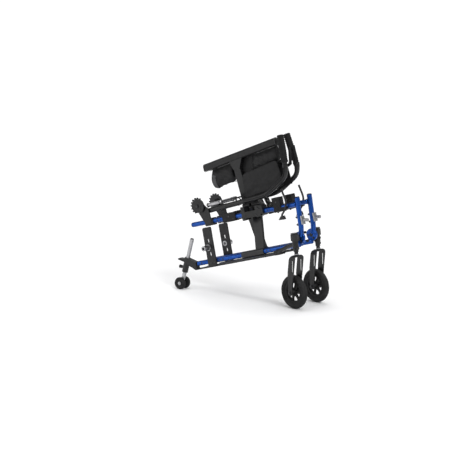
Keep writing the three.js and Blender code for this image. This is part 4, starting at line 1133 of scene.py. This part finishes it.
TEETH = {"count": 16, "tip": 38.6, "root": 32.4, "first": 0.7, "last": 4.3, "plain": 34.6, "flat": 29.6}
TOOTH = ((0.0, "root"), (0.16, "root"), (0.36, "tip"), (0.62, "tip"), (0.82, "root"))
DISC_THICK = 8.0
DISC_FACE = 11 + 0.9 + 16 / 3 + 0.3  # tube radius, gap, post plate and gap
DISC_STEP = [(21.5, DISC_THICK - 0.4), (21.2, DISC_THICK + 1.2), (14, DISC_THICK + 1.6)]
DISC_HUB = [(9.5, DISC_THICK), (9.5, DISC_THICK + 3.4), (7.2, DISC_THICK + 4.4)]


def disc_outline():
    """The disc's rim as x, z pairs about its centre: teeth on the outer arc, flat at the foot."""
    step = 2 * pi / TEETH["count"]
    points = []
    for i in range(TEETH["count"]):
        toothed = TEETH["first"] < i * step < TEETH["last"]
        for share, level in TOOTH:
            radius = TEETH[level] if toothed else TEETH["plain"]
            turn = (i + share) * step
            points.append((radius * cos(turn), max(radius * sin(turn), -TEETH["flat"])))
    return points


class CHAIR_OT_recline_discs(bpy.types.Operator):
    """Toothed recline discs with a raised hub"""

    bl_idname = "chair.recline_discs"
    bl_label = "Recline discs"

    def execute(self, context):
        for side in SIDES:
            shape = Shape(side)
            outline = [shape.at(POST["x"] + x, DISC_FACE, POST["z"] + z) for x, z in disc_outline()]
            centre = shape.at(POST["x"], DISC_FACE, POST["z"])
            shape.slab(outline, shape.out, 0, DISC_THICK, 0, 0.9)
            shape.turned(DISC_STEP, centre, shape.out, 0, 40)
            shape.turned(DISC_HUB, centre, shape.out, 1, 28)
            shape.bolt(centre + shape.out * ((DISC_THICK + 4.2) * MM), shape.out, 4.2, 3, 2)
            kinds = ["black", "plastic", "dark_metal"]
            shape.seat("recline_teeth", kinds, "seat_frame", "black_paint", "recline_disc", sharp=30)
        return {"FINISHED"}


# Bolts of the seat frame: x, y, z and radius
SEAT_BOLTS = (
    (322, 19, 196, 3.6), (322, 19, 156, 3), (410, 19, 190, 3.8), (392, 19, 162, 3),
    (235, 14.3, 180, 3), (212, 14.3, 168, 2.4), (258, 14.3, 168, 2.4), (508, 14.3, 200, 3.2),
    (120, 15, 174, 3), (104, 15, 188, 2.4), (136, 15, 162, 2.4),
)
HANGER_BOLTS = ((591.4, 118), (587.9, 86))
HANGER_STUDS = ((613.5, 47.6), (616, 9.3))
STUD = [(4.2, 0), (5.6, 1), (5.6, 8), (4, 9.5)]
# Bolts of the base: their spots, radius and height
PLATE_BOLTS = ([(x, 17.6, z) for x, z in ((86, -8), (106, -8), (86, 128), (112, 140), (92, 112))], 3.2, 2.6)
RAIL_BOLTS = ([(x, 9.8, -22) for x in (140, 260, 380)], 2.6, 2)
ARM_BOLTS = ([(x, 24.6, -14) for x in (455, 473)], 3.4, 2.8)
HOUSING_BOLTS = ([(581, 50.2, z) for z in (-16, 34)], 3, 2.4)
SLEEVE_RING = [(6.6, 0), (11.2, 0), (11.9, 0.8), (11.9, 2.8), (10.8, 3.6), (6.8, 3.6)]
CLAMP_BLOCKS = ((-34, -6, 16.5, 15.5), (-4, 0.2, 15, 15))  # from, to, half length and half width
CLAMP_CORNERS = (
    (1, 0.55), (0.55, 1), (-0.55, 1), (-1, 0.55), (-1, -0.55), (-0.55, -1), (0.55, -1), (1, -0.55),
)


def seat_fasteners(side):
    shape = Shape(side)
    for *spot, radius in SEAT_BOLTS:
        shape.bolts([spot], radius, radius * 0.75)
    for x, z in HANGER_BOLTS:
        shape.bolt(shape.at(x, 0, z), -ALONG, 3.6, 5)
    for x, z in HANGER_STUDS:
        shape.turned(STUD, shape.at(x, 0, z), ALONG, 2, 12)
    shape.seat("seat_frame_fasteners", ["dark_metal", "metal", "plastic"], "seat_frame", "silver")


def base_fasteners(side):
    shape = Shape(side)
    for row in (PLATE_BOLTS, RAIL_BOLTS, ARM_BOLTS):
        shape.bolts(*row)
    housing_clamp(shape)
    shape.bolts(*HOUSING_BOLTS)
    sleeve = shape.at(90, 56, 62) - shape.out * (4 * MM)
    shape.turned(closed(SLEEVE_RING), sleeve, shape.out, 1, 36)
    shape.seat("base_fasteners", ["dark_metal", "metal", "black"], "base", "silver")


def housing_clamp(shape):
    """A clamp block and its split round the upper end of the caster housing."""
    stem_place, stem_axis = joint(f"caster_swivel_{shape.side}")
    highest = Vector(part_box(f"caster_arm_{shape.side}")[1]).z
    top = stem_place + stem_axis * ((highest - stem_place.z) / stem_axis.z - 2 * MM)
    across = stem_axis.cross(Vector((0, 1, 0))).normalized()
    for low, high, half, wide in CLAMP_BLOCKS:
        outline = [top + across * (half * MM) * a + shape.out * (wide * MM) * b for a, b in CLAMP_CORNERS]
        shape.slab(outline, stem_axis, low, high, 2, 1.2)
    for lift in (-13, -27):
        shape.bolt(top + stem_axis * (lift * MM) + shape.out * (15.2 * MM), shape.out, 3.2, 2.6)


class CHAIR_OT_fasteners(bpy.types.Operator):
    """Bolts on the brackets, plates and base rails, and clamps on the caster housings"""

    bl_idname = "chair.fasteners"
    bl_label = "Fasteners"

    def execute(self, context):
        for side in SIDES:
            seat_fasteners(side)
            base_fasteners(side)
        return {"FINISHED"}


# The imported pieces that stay, by the start of their names
FINISHES = {
    "black": ("brace_bracket", "back_post", "base_rail", "axle_plate", "caster_arm", "caster_fork",
              "brace_arm", "cross_bolt", "antitip_arm", "brake_lever"),
    "plastic": ("rear_saddle", "front_saddle", "hand_lever", "antitip_knob"),
    "metal": ("hanger_bracket", "axle_sleeve"),
    "mottled": ("brace_link",),
}


class CHAIR_OT_finishes(bpy.types.Operator):
    """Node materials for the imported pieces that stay"""

    bl_idname = "chair.finishes"
    bl_label = "Finishes"

    def execute(self, context):
        for kind, starts in FINISHES.items():
            for name, piece in frame["nodes"].items():
                if name.startswith(starts):
                    piece.data.materials.clear()
                    piece.data.materials.append(material(kind))
        return {"FINISHED"}


# Studio, in metres but for the target

VIEW_AZIMUTH = radians(37)
VIEW_ELEVATION = radians(11)
VIEW_SPAN = 2.04
VIEW_DISTANCE = 12.0
VIEW_TARGET = (101.0, 141.6, 269.2)
LAYOUT_START = (87.8, 0.0, 126.0)
FLOOR_REACH = 30.0
WORLD_STRENGTH = 0.46
LIT_HEIGHT = 0.35
# Each light: name, kind, place, angle or size, and strength
LIGHTS = (
    ("key", "SUN", (2.4, -0.9, 2.6), radians(22), 1.5),
    ("top", "SUN", (-0.5, 0.5, 3.2), radians(50), 1.35),
    ("fill", "AREA", (-2.4, -2.6, 1.4), 1.6, 16.0),
)


def facing_back(direction):
    """The turn of a camera or a light that looks against a direction."""
    return direction.to_track_quat("Z", "Y").to_euler()


def add_camera(scene):
    origin = (frame_origin("near") + frame_origin("far")) / 2
    target = origin + (Vector(VIEW_TARGET) - Vector(LAYOUT_START)) * MM
    back = Vector((
        sin(VIEW_AZIMUTH) * cos(VIEW_ELEVATION),
        -cos(VIEW_AZIMUTH) * cos(VIEW_ELEVATION),
        sin(VIEW_ELEVATION),
    ))
    data = bpy.data.cameras.new("camera")
    data.sensor_width = 36.0
    data.lens = data.sensor_width * VIEW_DISTANCE / VIEW_SPAN
    data.clip_end = 60.0
    camera = bpy.data.objects.new("camera", data)
    camera.location = target + back * VIEW_DISTANCE
    camera.rotation_euler = facing_back(back)
    scene.collection.objects.link(camera)
    scene.camera = camera


def add_floor(scene):
    mesh = bpy.data.meshes.new("floor")
    corners = ((-1, -1), (1, -1), (1, 1), (-1, 1))
    mesh.from_pydata([(x * FLOOR_REACH, y * FLOOR_REACH, 0) for x, y in corners], [], [[0, 1, 2, 3]])
    mesh.materials.append(material("floor"))
    floor = bpy.data.objects.new("floor", mesh)
    scene.collection.objects.link(floor)


def add_lights(scene):
    scene.world = bpy.data.worlds.new("world")
    scene.world.use_nodes = True
    sky = scene.world.node_tree.nodes["Background"].inputs
    sky["Color"].default_value = (1.0, 1.0, 1.0, 1.0)
    sky["Strength"].default_value = WORLD_STRENGTH
    for name, kind, spot, size, power in LIGHTS:
        data = bpy.data.lights.new(name, kind)
        setattr(data, "angle" if kind == "SUN" else "size", size)
        data.energy = power
        light = bpy.data.objects.new(name, data)
        light.location = spot
        light.rotation_euler = facing_back(Vector(spot) - Vector((0, 0, LIT_HEIGHT)))
        scene.collection.objects.link(light)


class CHAIR_OT_studio(bpy.types.Operator):
    """Pale floor, soft lights and the camera"""

    bl_idname = "chair.studio"
    bl_label = "Studio"

    def execute(self, context):
        add_camera(context.scene)
        add_floor(context.scene)
        add_lights(context.scene)
        context.scene.view_settings.view_transform = "Standard"
        return {"FINISHED"}


class CHAIR_PT_panel(bpy.types.Panel):
    """Lists the sizes, the colours and the pieces"""

    bl_label = "Wheelchair"
    bl_idname = "CHAIR_PT_panel"
    bl_space_type = "VIEW_3D"
    bl_region_type = "UI"
    bl_category = "Wheelchair"

    def draw(self, context):
        for group in (context.scene.chair_sizes, context.scene.chair_colours):
            box = self.layout.box()
            for name in group.__annotations__:
                box.prop(group, name)
        for operator in OPERATORS:
            self.layout.operator(operator.bl_idname)


OPERATORS = (
    CHAIR_OT_studio, CHAIR_OT_finishes, CHAIR_OT_frame_tubes, CHAIR_OT_canes, CHAIR_OT_casters,
    CHAIR_OT_antitip, CHAIR_OT_rail_pads, CHAIR_OT_sling, CHAIR_OT_back_cloth, CHAIR_OT_recline_discs,
    CHAIR_OT_fasteners,
)
CLASSES = (ChairSizes, ChairColours, *OPERATORS, CHAIR_PT_panel)


def register():
    for cls in CLASSES:
        bpy.utils.register_class(cls)
    bpy.types.Scene.chair_sizes = PointerProperty(type=ChairSizes)
    bpy.types.Scene.chair_colours = PointerProperty(type=ChairColours)


def unregister():
    del bpy.types.Scene.chair_sizes
    del bpy.types.Scene.chair_colours
    for cls in reversed(CLASSES):
        bpy.utils.unregister_class(cls)


def main():
    register()
    for operator in OPERATORS:
        group, name = operator.bl_idname.split(".")
        getattr(getattr(bpy.ops, group), name)()


if __name__ == "__main__":
    main()
